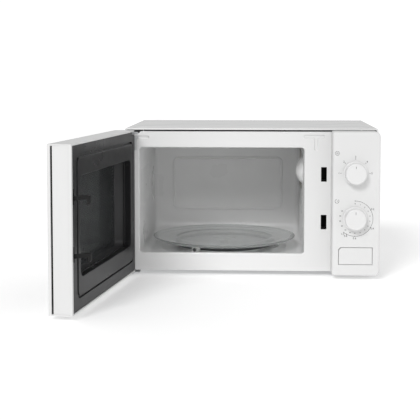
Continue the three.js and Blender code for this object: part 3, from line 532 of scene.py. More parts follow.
# a T of two straight pressed grooves
def grooveT(x0, x1, rise, legX, legRise, width):
    half = width / 2
    under, over, foot = base + rise - half, base + rise + half, base + legRise
    outer, inner = teeRound["outer"], teeRound["inner"]
    return eased([(x0, under), (legX - half, under), (legX - half, foot), (legX + half, foot),
                  (legX + half, under), (x1, under), (x1, over), (x0, over)],
                 [outer, inner, outer, outer, inner, outer, outer, outer], 4)


def facePlate(look):
    left, right, top = plate[0].x, plate[1].x, plate[1].z
    notchLow = faceTop - look["notchDrop"]
    outline = eased([(left, base), (right, base), (right, top), (look["notchTop"], top),
                     (look["notchRight"], notchLow), (left, notchLow)], look["corner"], 3)
    bm = bmesh.new()
    outer = ringsOf(bm, "y", [(outline, look["hem"])] + overEdge(outline, look["edge"], look["edge"], -1))
    mouth = easedBox(cavity[0].x + sheet, cavity[1].x - sheet, base + sillRise, cavity[1].z - sheet,
                     look["mouthCorner"], 6)
    features = [hole(intoEdge(mouth, 0, look["lip"], 1) + [(mouth, mouthDepth)])]
    for tee in tees:
        features.append({"rings": ramp(grooveT(**tee), 0, look["grooveDepth"], look["grooveSlope"])})
    for k in range(2):
        low = base + look["slotRise"] + k * hookPitch
        slot = easedBox(slotX - look["slotHalf"], slotX + look["slotHalf"], low, low + look["slotTop"],
                        look["slotCorner"], 2)
        features.append(hole(intoEdge(slot, 0, look["slotEdge"], 1, 2) + [(slot, look["slotDepth"])]))
    flat(bm, "y", outer[-1], features)
    return piece(bm, "facePlate", "cabinet", "white_paint", stands=["front_plate"],
                 seenFrom=farAhead, thick=0.8, edge=0.15)


cavityLook = {"mouthCorner": 5, "floorCorner": 13, "roofCorner": 7, "sill": 9, "floorFrom": 24, "sweep": 30,
              "backCorner": 9}
turntableWell = {"boss": 20, "bossRise": 1.2, "bossSlope": 3, "shaftTop": 6.5, "shaftFoot": 6,
                 "trackOut": 122, "trackIn": 86, "trackDrop": 0.9, "trackSlope": 4}
lampDome = {"fromFront": 75, "rise": 176, "radius": 26, "height": 13, "flare": 1.5, "start": 0.4}
portBay = {"inset": 6, "corner": 2, "grow": 2, "bayCorner": 6, "deep": 0.6, "slope": 1.5, "through": 1.4}
roofPanel = {"side": 30, "front": 40, "back": 45, "corner": 14, "rise": 1.6}
sidePanel = {"front": 28, "back": 190, "rise": 107, "tall": 76, "corner": 12, "deep": 1.6}
backPanel = {"left": 36, "right": 31.4, "low": 51.4, "high": 38.7, "corner": 13,
             "bead": 1.3, "beadSlope": 2.4, "beadWidth": 3.2, "dip": 0.9, "dipSlope": 3}


# outlines of the cavity from its mouth over the sill and down to the swept rear corner
def cavityRows(look, floor, back):
    sill = base + sillRise
    sweep, turn = look["sweep"], look["backCorner"]
    rows = [(mouthDepth, 0, sill, look["mouthCorner"]), (look["sill"], 0, sill, look["mouthCorner"])]
    for k in range(1, 6):
        t = k / 5
        ease = t * t * (3 - 2 * t)
        rLow = look["mouthCorner"] + (look["floorCorner"] - look["mouthCorner"]) * t
        y = look["sill"] + (look["floorFrom"] - look["sill"]) * t
        rows.append((y, 0, sill + (floor - sill) * ease, rLow))
    flatFrom = len(rows) - 1
    for k in range(11):
        angle = math.pi / 2 * k / 10
        y = back - sweep + sweep * math.sin(angle)
        past = max(0, y - (back - turn))
        by = turn - math.sqrt(turn ** 2 - past ** 2)
        rows.append((y, by, floor + sweep * (1 - math.cos(angle)), look["floorCorner"]))
    return rows, flatFrom


# the ring groove that the rollers run in, round a boss with the shaft's hole
def turntableFloor(look, floor):
    x, y = (glassBox[0].x + glassBox[1].x) / 2, (glassBox[0].y + glassBox[1].y) / 2
    top = floor + look["bossRise"]
    shaftHole = hole([(circle(x, y, look["shaftTop"], 24), top),
                      (circle(x, y, look["shaftFoot"], 24), floor - 1)])
    boss = {"rings": ramp(circle(x, y, look["boss"], 40), floor, look["bossRise"], look["bossSlope"]),
            "inside": [shaftHole]}
    drop, slope = look["trackDrop"], look["trackSlope"]
    island = {"rings": ramp(circle(x, y, look["trackIn"], 80), floor - drop, drop, slope), "inside": [boss]}
    return {"rings": ramp(circle(x, y, look["trackOut"], 96), floor, -drop, slope), "inside": [island]}


def domeOn(look, wall):
    y, z, radius, height = look["fromFront"], base + look["rise"], look["radius"], look["height"]
    ball = (radius ** 2 + height ** 2) / (2 * height)
    rings = [(circle(y, z, radius + look["flare"]), wall), (circle(y, z, radius), wall - look["start"])]
    for k in range(1, 8):
        r = radius * math.cos(math.pi / 2 * k / 8)
        rings.append((circle(y, z, r), wall - (math.sqrt(ball ** 2 - r ** 2) - ball + height)))
    return {"rings": rings}


# the shallow bay of the waveguide's cover, with the port through the wall
def bayOn(look, wall):
    low, high = span("waveguide_cover")
    by, grow = look["inset"], look["grow"]
    port = easedBox(low.y + by, high.y - by, low.z + by, high.z - by, look["corner"])
    bay = easedBox(low.y - grow, high.y + grow, low.z - grow, high.z + grow, look["bayCorner"])
    through = hole([(port, wall + look["deep"]), (port, wall + look["through"])])
    return {"rings": ramp(bay, wall, look["deep"], look["slope"]), "inside": [through]}


def cavityLiner(look):
    left, right = cavity[0].x + sheet, cavity[1].x - sheet
    floor, roof, back = cavity[0].z + sheet, cavity[1].z - sheet, cavity[1].y - sheet
    rows, flatFrom = cavityRows(look, floor, back)
    steps = 6
    bm = bmesh.new()
    made = []
    for y, by, low, rLow in rows:
        rTop = look["mouthCorner"] if y < look["sill"] else look["roofCorner"]
        loop = easedBox(left + by, right - by, low, roof - by, [rLow, rLow, rTop, rTop], steps)
        made.append([bm.verts.new((x, y, z)) for x, z in loop])
    wide = [steps, 2 * steps + 1, 3 * steps + 2, 4 * steps + 3]
    for i, (a, b) in enumerate(zip(made, made[1:])):
        bridge(bm, a, b, wide if i == flatFrom else ())
    a, b = made[flatFrom], made[flatFrom + 1]
    onFloor, onRight, onRoof, onLeft = [[a[i], a[(i + 1) % len(a)], b[(i + 1) % len(a)], b[i]] for i in wide]
    flat(bm, "z", onFloor, [turntableFloor(turntableWell, floor)])
    flat(bm, "x", onRight, [domeOn(lampDome, right), bayOn(portBay, right)])
    roofBox = easedBox(left + roofPanel["side"], right - roofPanel["side"], roofPanel["front"],
                       back - roofPanel["back"], roofPanel["corner"])
    flat(bm, "z", onRoof, [{"rings": ramp(roofBox, roof, roofPanel["rise"], slopeWidth)}])
    low = base + sidePanel["rise"]
    side = easedBox(sidePanel["front"], sidePanel["back"], low, low + sidePanel["tall"], sidePanel["corner"])
    flat(bm, "x", onLeft, [{"rings": ramp(side, left, -sidePanel["deep"], slopeWidth)}])
    wall = backPanel
    bead, dip = wall["bead"], wall["dip"]
    raised = easedBox(left + wall["left"], right - wall["right"], floor + wall["low"], roof - wall["high"],
                      wall["corner"], 4)
    fall = ramp(inset(raised, wall["beadWidth"]), back - bead, bead + dip, wall["dipSlope"], 4)
    flat(bm, "y", made[-1], [{"rings": ramp(raised, back, -bead, wall["beadSlope"], 4) + fall[1:]}])
    return piece(bm, "cavityLiner", "cabinet", "cavity_paint", stands=["cavity_shell"],
                 seenFrom=((left + right) / 2, 120, 130), thick=0.7)


# ---- control panel ----

panelLook = {"edge": 3.2, "leftCorner": 3.4, "rightCorner": 8.6, "boreEdge": 0.5, "bore": 4.6, "boreDepth": 2,
             "rim": -0.3, "gap": 0.1, "gapEdge": 0.45, "gapDepth": 3.5}
dial = {"x": cover[1].x - 43.4, "power": base + 180.8, "timer": base + 101.2}
buttonLook = {"right": cover[1].x - 12.5, "low": base + 19.6, "width": 59.4, "height": 30.6, "cut": 4}


def buttonOutline(grow):
    b = buttonLook
    right, low = b["right"] + grow, b["low"] - grow
    left, high = b["right"] - b["width"] - grow, b["low"] + b["height"] + grow
    return eased([(left, low), (right, low), (right, high), (left + b["cut"], high), (left, high - b["cut"])],
                 0.6, 3)


def panelMoulding(look):
    outline = eased(rectangle(panel[0].x, panel[1].x, base, faceTop),
                    [look["leftCorner"], look["rightCorner"], look["rightCorner"], look["leftCorner"]], 7)
    bm = bmesh.new()
    edge = look["edge"]
    outer = ringsOf(bm, "y", [(outline, look["rim"])] + overEdge(outline, faceFront + edge, edge, -1, 6))
    features = []
    for z in (dial["power"], dial["timer"]):
        bore = circle(dial["x"], z, look["bore"], 32)
        features.append(hole(intoEdge(bore, faceFront, look["boreEdge"], 1, 2) +
                             [(bore, faceFront + look["boreDepth"])]))
    gap = buttonOutline(look["gap"])
    features.append(hole(intoEdge(gap, faceFront, look["gapEdge"], 1, 3) +
                         [(gap, faceFront + look["gapDepth"])]))
    flat(bm, "y", outer[-1], features)
    return piece(bm, "panelMoulding", "cabinet", "white_plastic", stands=["control_panel"],
                 seenFrom=farAhead, thick=2.2)


# ---- knobs and marks ----

knobLook = {"skirt": 21.6, "skirtDepth": 4, "cap": 18.9, "capEdge": 17.6, "dish": 15.6, "pointer": (1.3, 5.5),
            "shaftBore": 3.1, "hub": 5.6, "boreDepth": 8.7, "hollow": 7, "line": 0.3}


def knob(look, node, z):
    name = node.split("_")[0] + "Knob"
    low, high = span(node)
    back, front = high.y, low.y
    rim = back - look["skirtDepth"]
    bore, hub, deep, hollow = look["shaftBore"], look["hub"], back - look["boreDepth"], back - look["hollow"]
    profile = [(0, deep), (bore, deep), (bore, back - 1), (hub, back - 1), (hub, hollow),
               (look["cap"] - 2, hollow), (look["cap"] - 1.6, back), (look["skirt"], back),
               (look["skirt"], rim), (look["cap"] + 0.5, rim - 0.4), (look["cap"], rim - 1.2),
               (look["capEdge"] + 0.5, front + 0.9), (look["capEdge"] - 0.8, front),
               (look["dish"], front), (look["dish"] - 1, front + 0.35), (0, front + 0.2)]
    bm = bmesh.new()
    turned(bm, "y", easedProfile(profile, 0.55, 4), dial["x"], z, 96)
    width, length = look["pointer"]
    top = z + look["dish"] - 1.6
    bar = easedBox(dial["x"] - width / 2, dial["x"] + width / 2, top - length, top, width / 2 - 0.05, 4)
    slab(bm, "y", [(bar, front + 0.6)] + overEdge(bar, front + 0.1, 0.25, -1, 2))
    piece(bm, name, node, "knob_plastic", stands=[node])
    bm = bmesh.new()
    mark = easedBox(dial["x"] - look["line"], dial["x"] + look["line"], top - length + 0.8, top - 0.8, 0.2, 2)
    slab(bm, "y", [(mark, front), (mark, front - 0.2)])
    line = piece(bm, name + "Line", node, "latch_black")
    line.data.materials[0] = ink


markLook = {"thick": 0.05, "sink": 0.02, "bold": 0.03, "line": 0.55, "timerNumbers": 26.2, "timerStep": 20,
            "timerArc": 31.1, "arcEnd": 218.5, "numberSize": 3.5, "weightSize": 4.8, "weightsOut": 3.6,
            "powerDots": 25.2, "powerNumbers": 28.6, "dot": 0.75,
            "ring": (377, 223.6, 3.6), "clock": (377, 139.6, 3.5)}


# one word as flat mesh, its middle at (x, z), added to the marks
def printed(bm, text, size, x, z):
    words = bpy.data.curves.new("printed", "FONT")
    words.body = text
    words.size = size
    words.align_x, words.align_y = "CENTER", "CENTER"
    words.extrude = markLook["thick"] / 2
    words.offset = markLook["bold"]
    words.resolution_u = 3
    holder = newObject("printed", words)
    mesh = plainMesh(holder)
    face = faceFront + markLook["sink"] - markLook["thick"] / 2
    mesh.transform(Matrix.Translation((x, face, z)) @ Matrix.Rotation(math.radians(90), 4, "X"))
    bm.from_mesh(mesh)
    bpy.data.objects.remove(holder)
    bpy.data.curves.remove(words)
    bpy.data.meshes.remove(mesh)


def printedShape(bm, loop):
    face = faceFront + markLook["sink"]
    slab(bm, "y", [(loop, face), (loop, face - markLook["thick"])])


def onDial(z, radius, degrees):
    angle = math.radians(degrees)
    return dial["x"] + radius * math.sin(angle), z + radius * math.cos(angle)


# an arc line from one clock angle to another, as an outline
def arcLine(x, z, radius, start, end, width, steps=48):
    rim = []
    for k in range(steps + 1):
        angle = math.radians(start + (end - start) * k / steps)
        rim.append((math.sin(angle), math.cos(angle)))
    outside = [(x + s * (radius + width / 2), z + c * (radius + width / 2)) for s, c in rim]
    inside = [(x + s * (radius - width / 2), z + c * (radius - width / 2)) for s, c in reversed(rim)]
    return (outside + inside)[::-1]


def panelMarks(look):
    bm = bmesh.new()
    timer, power = dial["timer"], dial["power"]
    for i, label in enumerate([*range(11), *range(15, 40, 5)]):
        at = onDial(timer, look["timerNumbers"], look["timerStep"] * i)
        printed(bm, str(label), look["numberSize"], *at)
    printedShape(bm, arcLine(dial["x"], timer, look["timerArc"], 0, look["arcEnd"], look["line"], 72))
    weights = {"0.2": 61, "0.4": 120, "0.6": 181, "0.8": 208, "1.0": look["arcEnd"]}
    printedShape(bm, circle(*onDial(timer, look["timerArc"], 0), look["dot"], 16))
    for label, degrees in weights.items():
        printedShape(bm, circle(*onDial(timer, look["timerArc"], degrees), look["dot"], 16))
        printed(bm, label, look["weightSize"], *onDial(timer, look["timerArc"] + look["weightsOut"], degrees))
    for label, degrees in enumerate((270, 315, 0, 45, 90), 1):
        printedShape(bm, circle(*onDial(power, look["powerDots"], degrees), look["dot"], 16))
        printed(bm, str(label), look["weightSize"], *onDial(power, look["powerNumbers"], degrees))
    x, z, radius = look["ring"]
    printedShape(bm, arcLine(x, z, radius, 4, 356, look["line"], 36))
    for rise in (-1.1, 0, 1.1):
        printedShape(bm, easedBox(x - 2, x + 2, z + rise - 0.2, z + rise + 0.2, 0.15, 2))
    x, z, radius = look["clock"]
    printedShape(bm, arcLine(x, z, radius, 30, 345, look["line"], 32))
    printedShape(bm, rectangle(x - 0.2, x + 0.2, z, z + 2.3))
    printedShape(bm, rectangle(x, x + 1.7, z - 0.2, z + 0.2))
    marks = piece(bm, "panelMarks", "cabinet", "latch_black", smooth=20)
    marks.data.materials[0] = ink


# ---- door ----

doorLook = {"window": (36, 324, 58, 211), "windowCorner": 12, "field": (20, 336, 30, 239), "fieldCorner": 10,
            "band": -3.1, "bandEdge": 0.9, "groove": 3.2, "grooveDepth": 3.0, "fieldLevel": -2.3,
            "fieldEdge": 1.3, "pocketEdge": 1.2, "lip": 12.6, "ledge": 2.4, "ledgeEdge": 0.8,
            "back": -2.0, "wallDepth": 5, "hingeNotch": (20.5, 5.6),
            "hookGap": {"half": 3, "rise": 77, "tall": 24, "corner": 0.8, "edge": 0.6, "depth": 6}}


def chokeTrim(look):
    low, high = trim
    right, step = look["hingeNotch"]
    outline = eased([(low.x, low.z), (high.x, low.z), (high.x, high.z), (right, high.z),
                     (right, high.z - step), (low.x, high.z - step)], [2, 5, 5, 1, 1, 1.5], 5)
    field = easedBox(*look["field"], look["fieldCorner"], 8)
    pocket = easedBox(*look["window"], look["windowCorner"], 8)
    bm = bmesh.new()
    outer = ringsOf(bm, "y", [(outline, low.y + look["wallDepth"])] +
                    overEdge(outline, look["band"] - look["bandEdge"], look["bandEdge"]))
    gutter = inset(field, -look["groove"])
    bottom = look["band"] - look["grooveDepth"]
    lip = look["back"] - look["lip"]
    ledge = inset(pocket, look["ledge"])
    window = hole(intoEdge(pocket, look["fieldLevel"], look["pocketEdge"], -1) +
                  [(pocket, lip + 2.2), (inset(pocket, 0.6), lip + 1.6)] +
                  intoEdge(ledge, lip + 1.6, look["ledgeEdge"], -1, 3) + [(ledge, lip)])
    raised = {"rings": intoEdge(gutter, look["band"], 0.7, -1, 3) +
              [(gutter, bottom + 0.4), (inset(gutter, 0.5), bottom), (inset(field, -0.5), bottom),
               (field, bottom + 0.4)] +
              overEdge(field, look["fieldLevel"] - look["fieldEdge"], look["fieldEdge"]),
              "inside": [window]}
    features = [raised]
    hook = look["hookGap"]
    for k in range(2):
        foot = base + hook["rise"] + k * hookPitch
        gap = easedBox(slotX - hook["half"], slotX + hook["half"], foot, foot + hook["tall"],
                       hook["corner"], 3)
        features.append(hole(intoEdge(gap, look["band"], hook["edge"], -1, 2) +
                             [(gap, look["band"] - hook["depth"])]))
    flat(bm, "y", outer[-1], features)
    piece(bm, "chokeTrim", "door", "choke_plastic", doorPlace, ["choke_cover"],
          seenFrom=farInside, thick=0.9)


# where the black painted-shade strip sits in the groove of the door's edge
gapShadeLook = {"fromFront": (5.15, 7.85), "inside": 2.55, "thick": 0.35, "ends": 2.6}


# a black strip at the bottom of the groove between the door's front skin and its edge: painted shade standing
# in for the shadow of a deep gap
def doorSeam(look):
    y0, y1 = (door[0].y + at for at in look["fromFront"])
    x = door[1].x - look["inside"]
    loop = easedBox(y0, y1, door[0].z + look["ends"], door[1].z - look["ends"], 0.4, 3)
    bm = bmesh.new()
    face = x + look["thick"]
    slab(bm, "x", [(loop, x - 0.1), (loop, face - 0.1), (inset(loop, 0.1), face)])
    piece(bm, "doorSeam", "door", "latch_black", doorPlace)


screenLook = {"flange": (20.7, 350, 13, 255), "flangeCorner": 6, "flangeTop": -15.4, "inset": 3,
              "mouthCorner": 14, "taper": 2.6, "fillet": 1.5, "holes": (44, 316, 66, 203), "pitch": 3.2,
              "hole": 2.3, "thick": 0.5}


def copiesTree(name, cells):
    tree = bpy.data.node_groups.new(name, "GeometryNodeTree")
    face = tree.interface
    face.new_socket("Points", in_out="INPUT", socket_type="NodeSocketGeometry")
    face.new_socket("Copy", in_out="INPUT", socket_type="NodeSocketObject")
    face.new_socket("Finish", in_out="INPUT", socket_type="NodeSocketMaterial")
    for size, start in cells:
        face.new_socket(size, in_out="INPUT", socket_type="NodeSocketFloat").default_value = start
    face.new_socket("Mesh", in_out="OUTPUT", socket_type="NodeSocketGeometry")
    return tree, tree.nodes.new("NodeGroupInput"), tree.nodes.new("NodeGroupOutput")


# copies of the "Copy" object on points, made real and painted; "weld" joins touching copies
def stamped(tree, start, end, points, turn=None, weld=0):
    n, link = tree.nodes.new, tree.links.new
    stamp, copy = n("GeometryNodeInstanceOnPoints"), n("GeometryNodeObjectInfo")
    real, paint = n("GeometryNodeRealizeInstances"), n("GeometryNodeSetMaterial")
    link(points, stamp.inputs["Points"])
    link(start.outputs["Copy"], copy.inputs["Object"])
    link(copy.outputs["Geometry"], stamp.inputs["Instance"])
    link(stamp.outputs[0], real.inputs[0])
    if turn is not None:
        link(turn, stamp.inputs["Rotation"])
        link(start.outputs["Scale"], stamp.inputs["Scale"])
    done = real.outputs[0]
    if weld:
        join = n("GeometryNodeMergeByDistance")
        join.inputs["Distance"].default_value = weld
        link(done, join.inputs["Geometry"])
        done = join.outputs[0]
    link(done, paint.inputs["Geometry"])
    link(start.outputs["Finish"], paint.inputs["Material"])
    link(paint.outputs[0], end.inputs[0])
    return tree


# runs a tree on a mesh, with its inputs by name, and gives back a plain mesh
def grown(tree, mesh, inputs):
    holder = newObject("holder", mesh)
    modifier = holder.modifiers.new("grow", "NODES")
    modifier.node_group = tree
    for item in tree.interface.items_tree:
        if item.in_out == "INPUT" and item.name in inputs:
            modifier[item.identifier] = inputs[item.name]
    made = plainMesh(holder)
    bpy.data.objects.remove(holder)
    return made


# a sheet of cells on a honeycomb of points, one cell stamped on each
def honeycombTree():
    tree, start, end = copiesTree("honeycomb", (("Width", 0.272), ("Height", 0.137), ("Pitch", 0.0032)))
    n, link = tree.nodes.new, tree.links.new
    pitch = start.outputs["Pitch"]

    # one step of arithmetic on sockets or plain numbers
    def worked(operation, a, b):
        step = n("ShaderNodeMath")
        step.operation = operation
        for i, value in enumerate((a, b)):
            if isinstance(value, (int, float)):
                step.inputs[i].default_value = value
            else:
                link(value, step.inputs[i])
        return step.outputs[0]

    rowHeight = worked("MULTIPLY", pitch, math.sqrt(3) / 2)
    columns = worked("FLOOR", worked("DIVIDE", start.outputs["Width"], pitch), 0)
    rows = worked("FLOOR", worked("DIVIDE", start.outputs["Height"], rowHeight), 0)
    grid = n("GeometryNodeMeshGrid")
    link(columns, grid.inputs["Vertices X"])
    link(rows, grid.inputs["Vertices Y"])
    link(worked("MULTIPLY", worked("SUBTRACT", columns, 1), pitch), grid.inputs["Size X"])
    link(worked("MULTIPLY", worked("SUBTRACT", rows, 1), rowHeight), grid.inputs["Size Y"])
    index = n("GeometryNodeInputIndex")
    odd = worked("MODULO", worked("MODULO", index.outputs[0], rows), 2)
    shift = n("ShaderNodeCombineXYZ")
    link(worked("MULTIPLY", odd, worked("MULTIPLY", pitch, 0.5)), shift.inputs["X"])
    move = n("GeometryNodeSetPosition")
    link(grid.outputs["Mesh"], move.inputs["Geometry"])
    link(shift.outputs[0], move.inputs["Offset"])
    return stamped(tree, start, end, move.outputs[0], weld=0.00002)


# copies of one object on points, each standing along the point's "facing" direction
def standingTree():
    tree, start, end = copiesTree("standingCopies", (("Scale", 1.0),))
    n, link = tree.nodes.new, tree.links.new
    facing = n("GeometryNodeInputNamedAttribute")
    facing.data_type = "FLOAT_VECTOR"
    facing.inputs["Name"].default_value = "facing"
    turn = n("FunctionNodeAlignRotationToVector")
    turn.axis = "Z"
    link(facing.outputs["Attribute"], turn.inputs["Vector"])
    return stamped(tree, start, end, start.outputs["Points"], turn.outputs[0])


def finishMesh(mesh, name, body, place=None):
    if place is not None:
        mesh.transform(place)
    listed(shownAs(mesh, name, 35), body)


def hexagon(radius, level):
    angles = [math.radians(30 + 60 * k) for k in range(6)]
    return [(radius * math.cos(a), radius * math.sin(a), level) for a in angles]


def screen(look):
    x0, x1, z0, z1 = doorLook["window"]
    floorY, top = span("door_screen", doorPlace)[0].y, look["flangeTop"]
    flange = easedBox(*look["flange"], look["flangeCorner"], 5)
    by = look["inset"]
    mouth = easedBox(x0 - by, x1 + by, z0 - by, z1 + by, look["mouthCorner"], 8)
    foot = inset(mouth, look["taper"])
    low = floorY + look["thick"]
    holes = easedBox(*look["holes"], 4, 4)
    bm = bmesh.new()
    outer = ringsOf(bm, "y", [(flange, top - 1), (flange, top)])
    pan = intoEdge(mouth, top, look["fillet"], -1, 3) + [(foot, low + look["fillet"])]
    for k in range(1, 4):
        angle = math.pi / 2 * k / 3
        pan.append((inset(foot, look["fillet"] * (1 - math.cos(angle))),
                    low + look["fillet"] * (1 - math.sin(angle))))
    sieve = hole([(holes, low), (holes, low - 0.3)])
    flat(bm, "y", outer[-1], [{"rings": pan, "inside": [sieve]}])
    piece(bm, "screenPan", "door", "screen_enamel", doorPlace, ["door_screen"],
          seenFrom=farInside, thick=look["thick"])
    cell = bmesh.new()
    outerRadius, innerRadius = look["pitch"] / math.sqrt(3), look["hole"] / 2
    t = look["thick"] / 2
    levels = [hexagon(r, level) for r, level in ((outerRadius, t), (innerRadius, t),
                                                 (innerRadius, -t), (outerRadius, -t))]
    made = [[cell.verts.new(Vector(p) * mm) for p in ring] for ring in levels]
    for a, b in zip(made, made[1:]):
        bridge(cell, a, b)
    bmesh.ops.recalc_face_normals(cell, faces=cell.faces)
    stamp = asObject(cell, "screenCell")
    u0, u1, v0, v1 = look["holes"]
    mesh = grown(honeycombTree(), bpy.data.meshes.new("none"), {
        "Copy": stamp, "Finish": finishes["screen_enamel"], "Pitch": look["pitch"] * mm,
        "Width": (u1 - u0 + 2) * mm, "Height": (v1 - v0 + 4) * mm})
    bpy.data.objects.remove(stamp)
    spread = Matrix.Translation(((u0 + u1) / 2, floorY + 0.1, (v0 + v1) / 2)) @ \
        Matrix.Rotation(math.radians(90), 4, "X") @ Matrix.Diagonal((1 / mm, 1 / mm, 1 / mm, 1))
    finishMesh(mesh, "screenMesh", "door", doorPlace @ spread)


paneLook = {"inner": (38.4, 321.6, 60.4, 208.6), "level": -31.6, "thick": 0.9, "corner": 11, "edge": 0.15}


def innerPane(look):
    bm = bmesh.new()
    outline = easedBox(*look["inner"], look["corner"], 6)
    level, edge = look["level"], look["edge"]
    far = level + look["thick"]
    slab(bm, "y", [(inset(outline, edge), level), (outline, level + edge),
                   (outline, far - edge), (inset(outline, edge), far)])
    piece(bm, "innerPane", "door", "window_clear", doorPlace, ["inner_window"])


# ---- turntable ----

dishLook = {"deep": 8, "floor": 4.6, "ring": 90, "ringRise": 0.5, "hub": 24, "sides": 160,
            "lugAt": 18, "lugTurn": 60.5, "lug": (7, 4, 2.8), "lugDrop": 1.1}


def glassDish(look):
    low, high = glassBox
    edge = (high.x - low.x) / 2
    x, y = (low.x + high.x) / 2, (low.y + high.y) / 2
    under, rim = high.z - look["deep"], high.z
    upper = under + look["floor"]
    ring, hub, rise = look["ring"], look["hub"], look["ringRise"]
    sunk = upper - rise * 1.6
    profile = [(0, under), (edge - 22, under), (edge - 8, under + 1.6), (edge, rim - 1.6), (edge, rim),
               (edge - 3, rim), (edge - 10, upper + 1.6), (edge - 23, upper),
               (ring + 3, upper), (ring, upper - rise),
               (ring - 3, sunk), (hub + 2, sunk), (hub, upper - rise * 2.2), (hub - 2, sunk), (0, sunk)]
    bm = bmesh.new()
    turned(bm, "z", easedProfile(profile, 1.3, 4), x, y, look["sides"])
    for i in range(3):
        angle = math.radians(look["lugTurn"] + 120 * i)
        lug = Matrix.Translation((x, y, 0)) @ Matrix.Rotation(angle, 4, "Z")
        block = bmesh.ops.create_cube(bm, size=1)["verts"]
        place = lug @ Matrix.Translation((look["lugAt"], 0, under - look["lugDrop"]))
        bmesh.ops.transform(bm, matrix=place @ Matrix.Diagonal((*look["lug"], 1)), verts=block)
    piece(bm, "glassDish", "turntable", "turntable_glass", stands=["glass_plate"], smooth=50)


# ---- springs ----

springs = {
    "button_spring": {"body": "cabinet", "joint": "button_press", "axis": (0, 1, 0), "wire": 0.55, "turns": 9,
                      "widest": 7.8, "anchor": "high", "keep": 0.843},
    "latch_spring": {"body": "door", "joint": "latch_slide", "axis": (0, 0, 1), "wire": 0.45, "turns": 10,
                     "widest": 7.8, "anchor": "low", "keep": 0.89},
}


def coil(node, look):
    box = [Vector(p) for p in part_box(node)]
    along = Vector(look["axis"])
    middle = (box[0] + box[1]) / 2
    length = (box[1] - box[0]).dot(along)
    across = Vector((1, 0, 0))
    side = along.cross(across)
    wire = look["wire"] * mm
    radius = min((box[1] - box[0]).x, look["widest"] * mm) / 2 - wire
    bm = bmesh.new()
    rings = []
    steps = look["turns"] * 20
    for k in range(steps + 1):
        t = k / steps
        angle = 2 * math.pi * look["turns"] * t
        out = across * math.cos(angle) + side * math.sin(angle)
        centre = middle + along * ((length - 2 * wire) * (t - 0.5)) + out * radius
        rings.append([bm.verts.new(centre + (out * math.cos(a) + along * math.sin(a)) * wire)
                      for a in [2 * math.pi * i / 8 for i in range(8)]])
    for a, b in zip(rings, rings[1:]):
        bridge(bm, a, b)
    bm.faces.new(rings[0])
    bm.faces.new(rings[-1][::-1])
    bmesh.ops.recalc_face_normals(bm, faces=bm.faces)
    obj = asObject(bm, node.split("_")[0] + "Coil")
    obj.data.materials.append(finishes["spring_steel"])
    listed(obj, look["body"], [node])
    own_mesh(obj)


# ---- screws ----

screwLook = {"head": 3.6, "rise": 1.9, "cross": 0.55, "reach": 2.1, "depth": 1.1}


def screwHead(look):
    bm = bmesh.new()
    rim = [(look["head"], -0.05), (look["head"], 0.35)]
    for k in range(1, 5):
        angle = math.pi / 2 * k / 5
        rim.append((look["head"] * (0.35 + 0.65 * math.cos(angle)),
                    0.35 + (look["rise"] - 0.35) * math.sin(angle)))
    rings = ringsOf(bm, "z", [(circle(0, 0, radius, 20), level) for radius, level in rim])
    flat(bm, "z", rings[0])
    c, r, top = look["cross"], look["reach"] * 0.6, rim[-1][1]
    cross = [(r, -c), (r, c), (c, c), (c, r), (-c, r), (-c, c),
             (-r, c), (-r, -c), (-c, -c), (-c, -r), (c, -r), (c, -c)]
    sunk = [(u * 0.7, v * 0.7) for u, v in cross]
    flat(bm, "z", rings[-1], [{"rings": [(cross, top), (sunk, top - look["depth"])]}])
    bmesh.ops.recalc_face_normals(bm, faces=bm.faces)
    bm.transform(Matrix.Diagonal((mm, mm, mm, 1)))
    return asObject(bm, "screwHead")


def screwsOn(name, body, spots, head):
    mesh = bpy.data.meshes.new(name)
    mesh.from_pydata([inPlace @ Vector(at) for at, facing in spots], [], [])
    facing = mesh.attributes.new("facing", "FLOAT_VECTOR", "POINT")
    for i, (at, way) in enumerate(spots):
        facing.data[i].vector = way
    made = grown(standingTree(), mesh, {"Copy": head, "Finish": finishes["zinc_steel"], "Scale": 1.0})
    finishMesh(made, name, body)


# distances in from the edges of the rear panel and up from the base
screwPlaces = {"edge": 12, "rearRises": (90, 175), "middleShift": 60, "sideRise": 10,
               "sideFrom": (40, 150, 260),
               "under": ((120, 30), (330, 30), (120, 270), (330, 270))}


def cabinetScrews(look):
    back, high, width = cover[1].y, cover[1].z, cover[1].x
    edge = look["edge"]
    behind, leftward, rightward, down = (0, 1, 0), (-1, 0, 0), (1, 0, 0), (0, 0, -1)
    spots = []
    for x in (edge, width / 2, width - edge):
        spots.append(((x, back, high - edge), behind))
    for x in (edge, width / 2 - look["middleShift"], width - edge):
        spots.append(((x, back, base + edge), behind))
    for rise in look["rearRises"]:
        spots += [((edge, back, base + rise), behind), ((width - edge, back, base + rise), behind)]
    for y in look["sideFrom"]:
        for x, way in ((0, leftward), (width, rightward)):
            spots.append(((x, y, base + look["sideRise"]), way))
    for x, y in look["under"]:
        spots.append(((x, y, base), down))
    head = screwHead(screwLook)
    screwsOn("cabinetScrews", "cabinet", spots, head)
    bpy.data.objects.remove(head)


# ---- build ----

coverSkin(coverLook)
facePlate(plateLook)
cavityLiner(cavityLook)
panelMoulding(panelLook)
knob(knobLook, "power_knob", dial["power"])
knob(knobLook, "timer_knob", dial["timer"])
panelMarks(markLook)
print("cabinet built")
chokeTrim(doorLook)
doorSeam(gapShadeLook)
screen(screenLook)
innerPane(paneLook)
glassDish(dishLook)
for name, look in springs.items():
    coil(name, look)
cabinetScrews(screwPlaces)
print("door, turntable, springs and screws built")
shaped = {"outer_cover", "front_plate", "cavity_shell", "control_panel", "power_knob", "timer_knob",
          "choke_cover", "door_screen", "inner_window", "glass_plate", *springs}
edges = {"door_frame": 0.7, "open_button": 0.5, "latch_hooks": 0.6, "door_front_window": 0.3}
for name in frame["nodes"]:
    if name not in shaped:
        polished(name, edges.get(name, 0.35))
print("pieces built")

# ---- stage ----

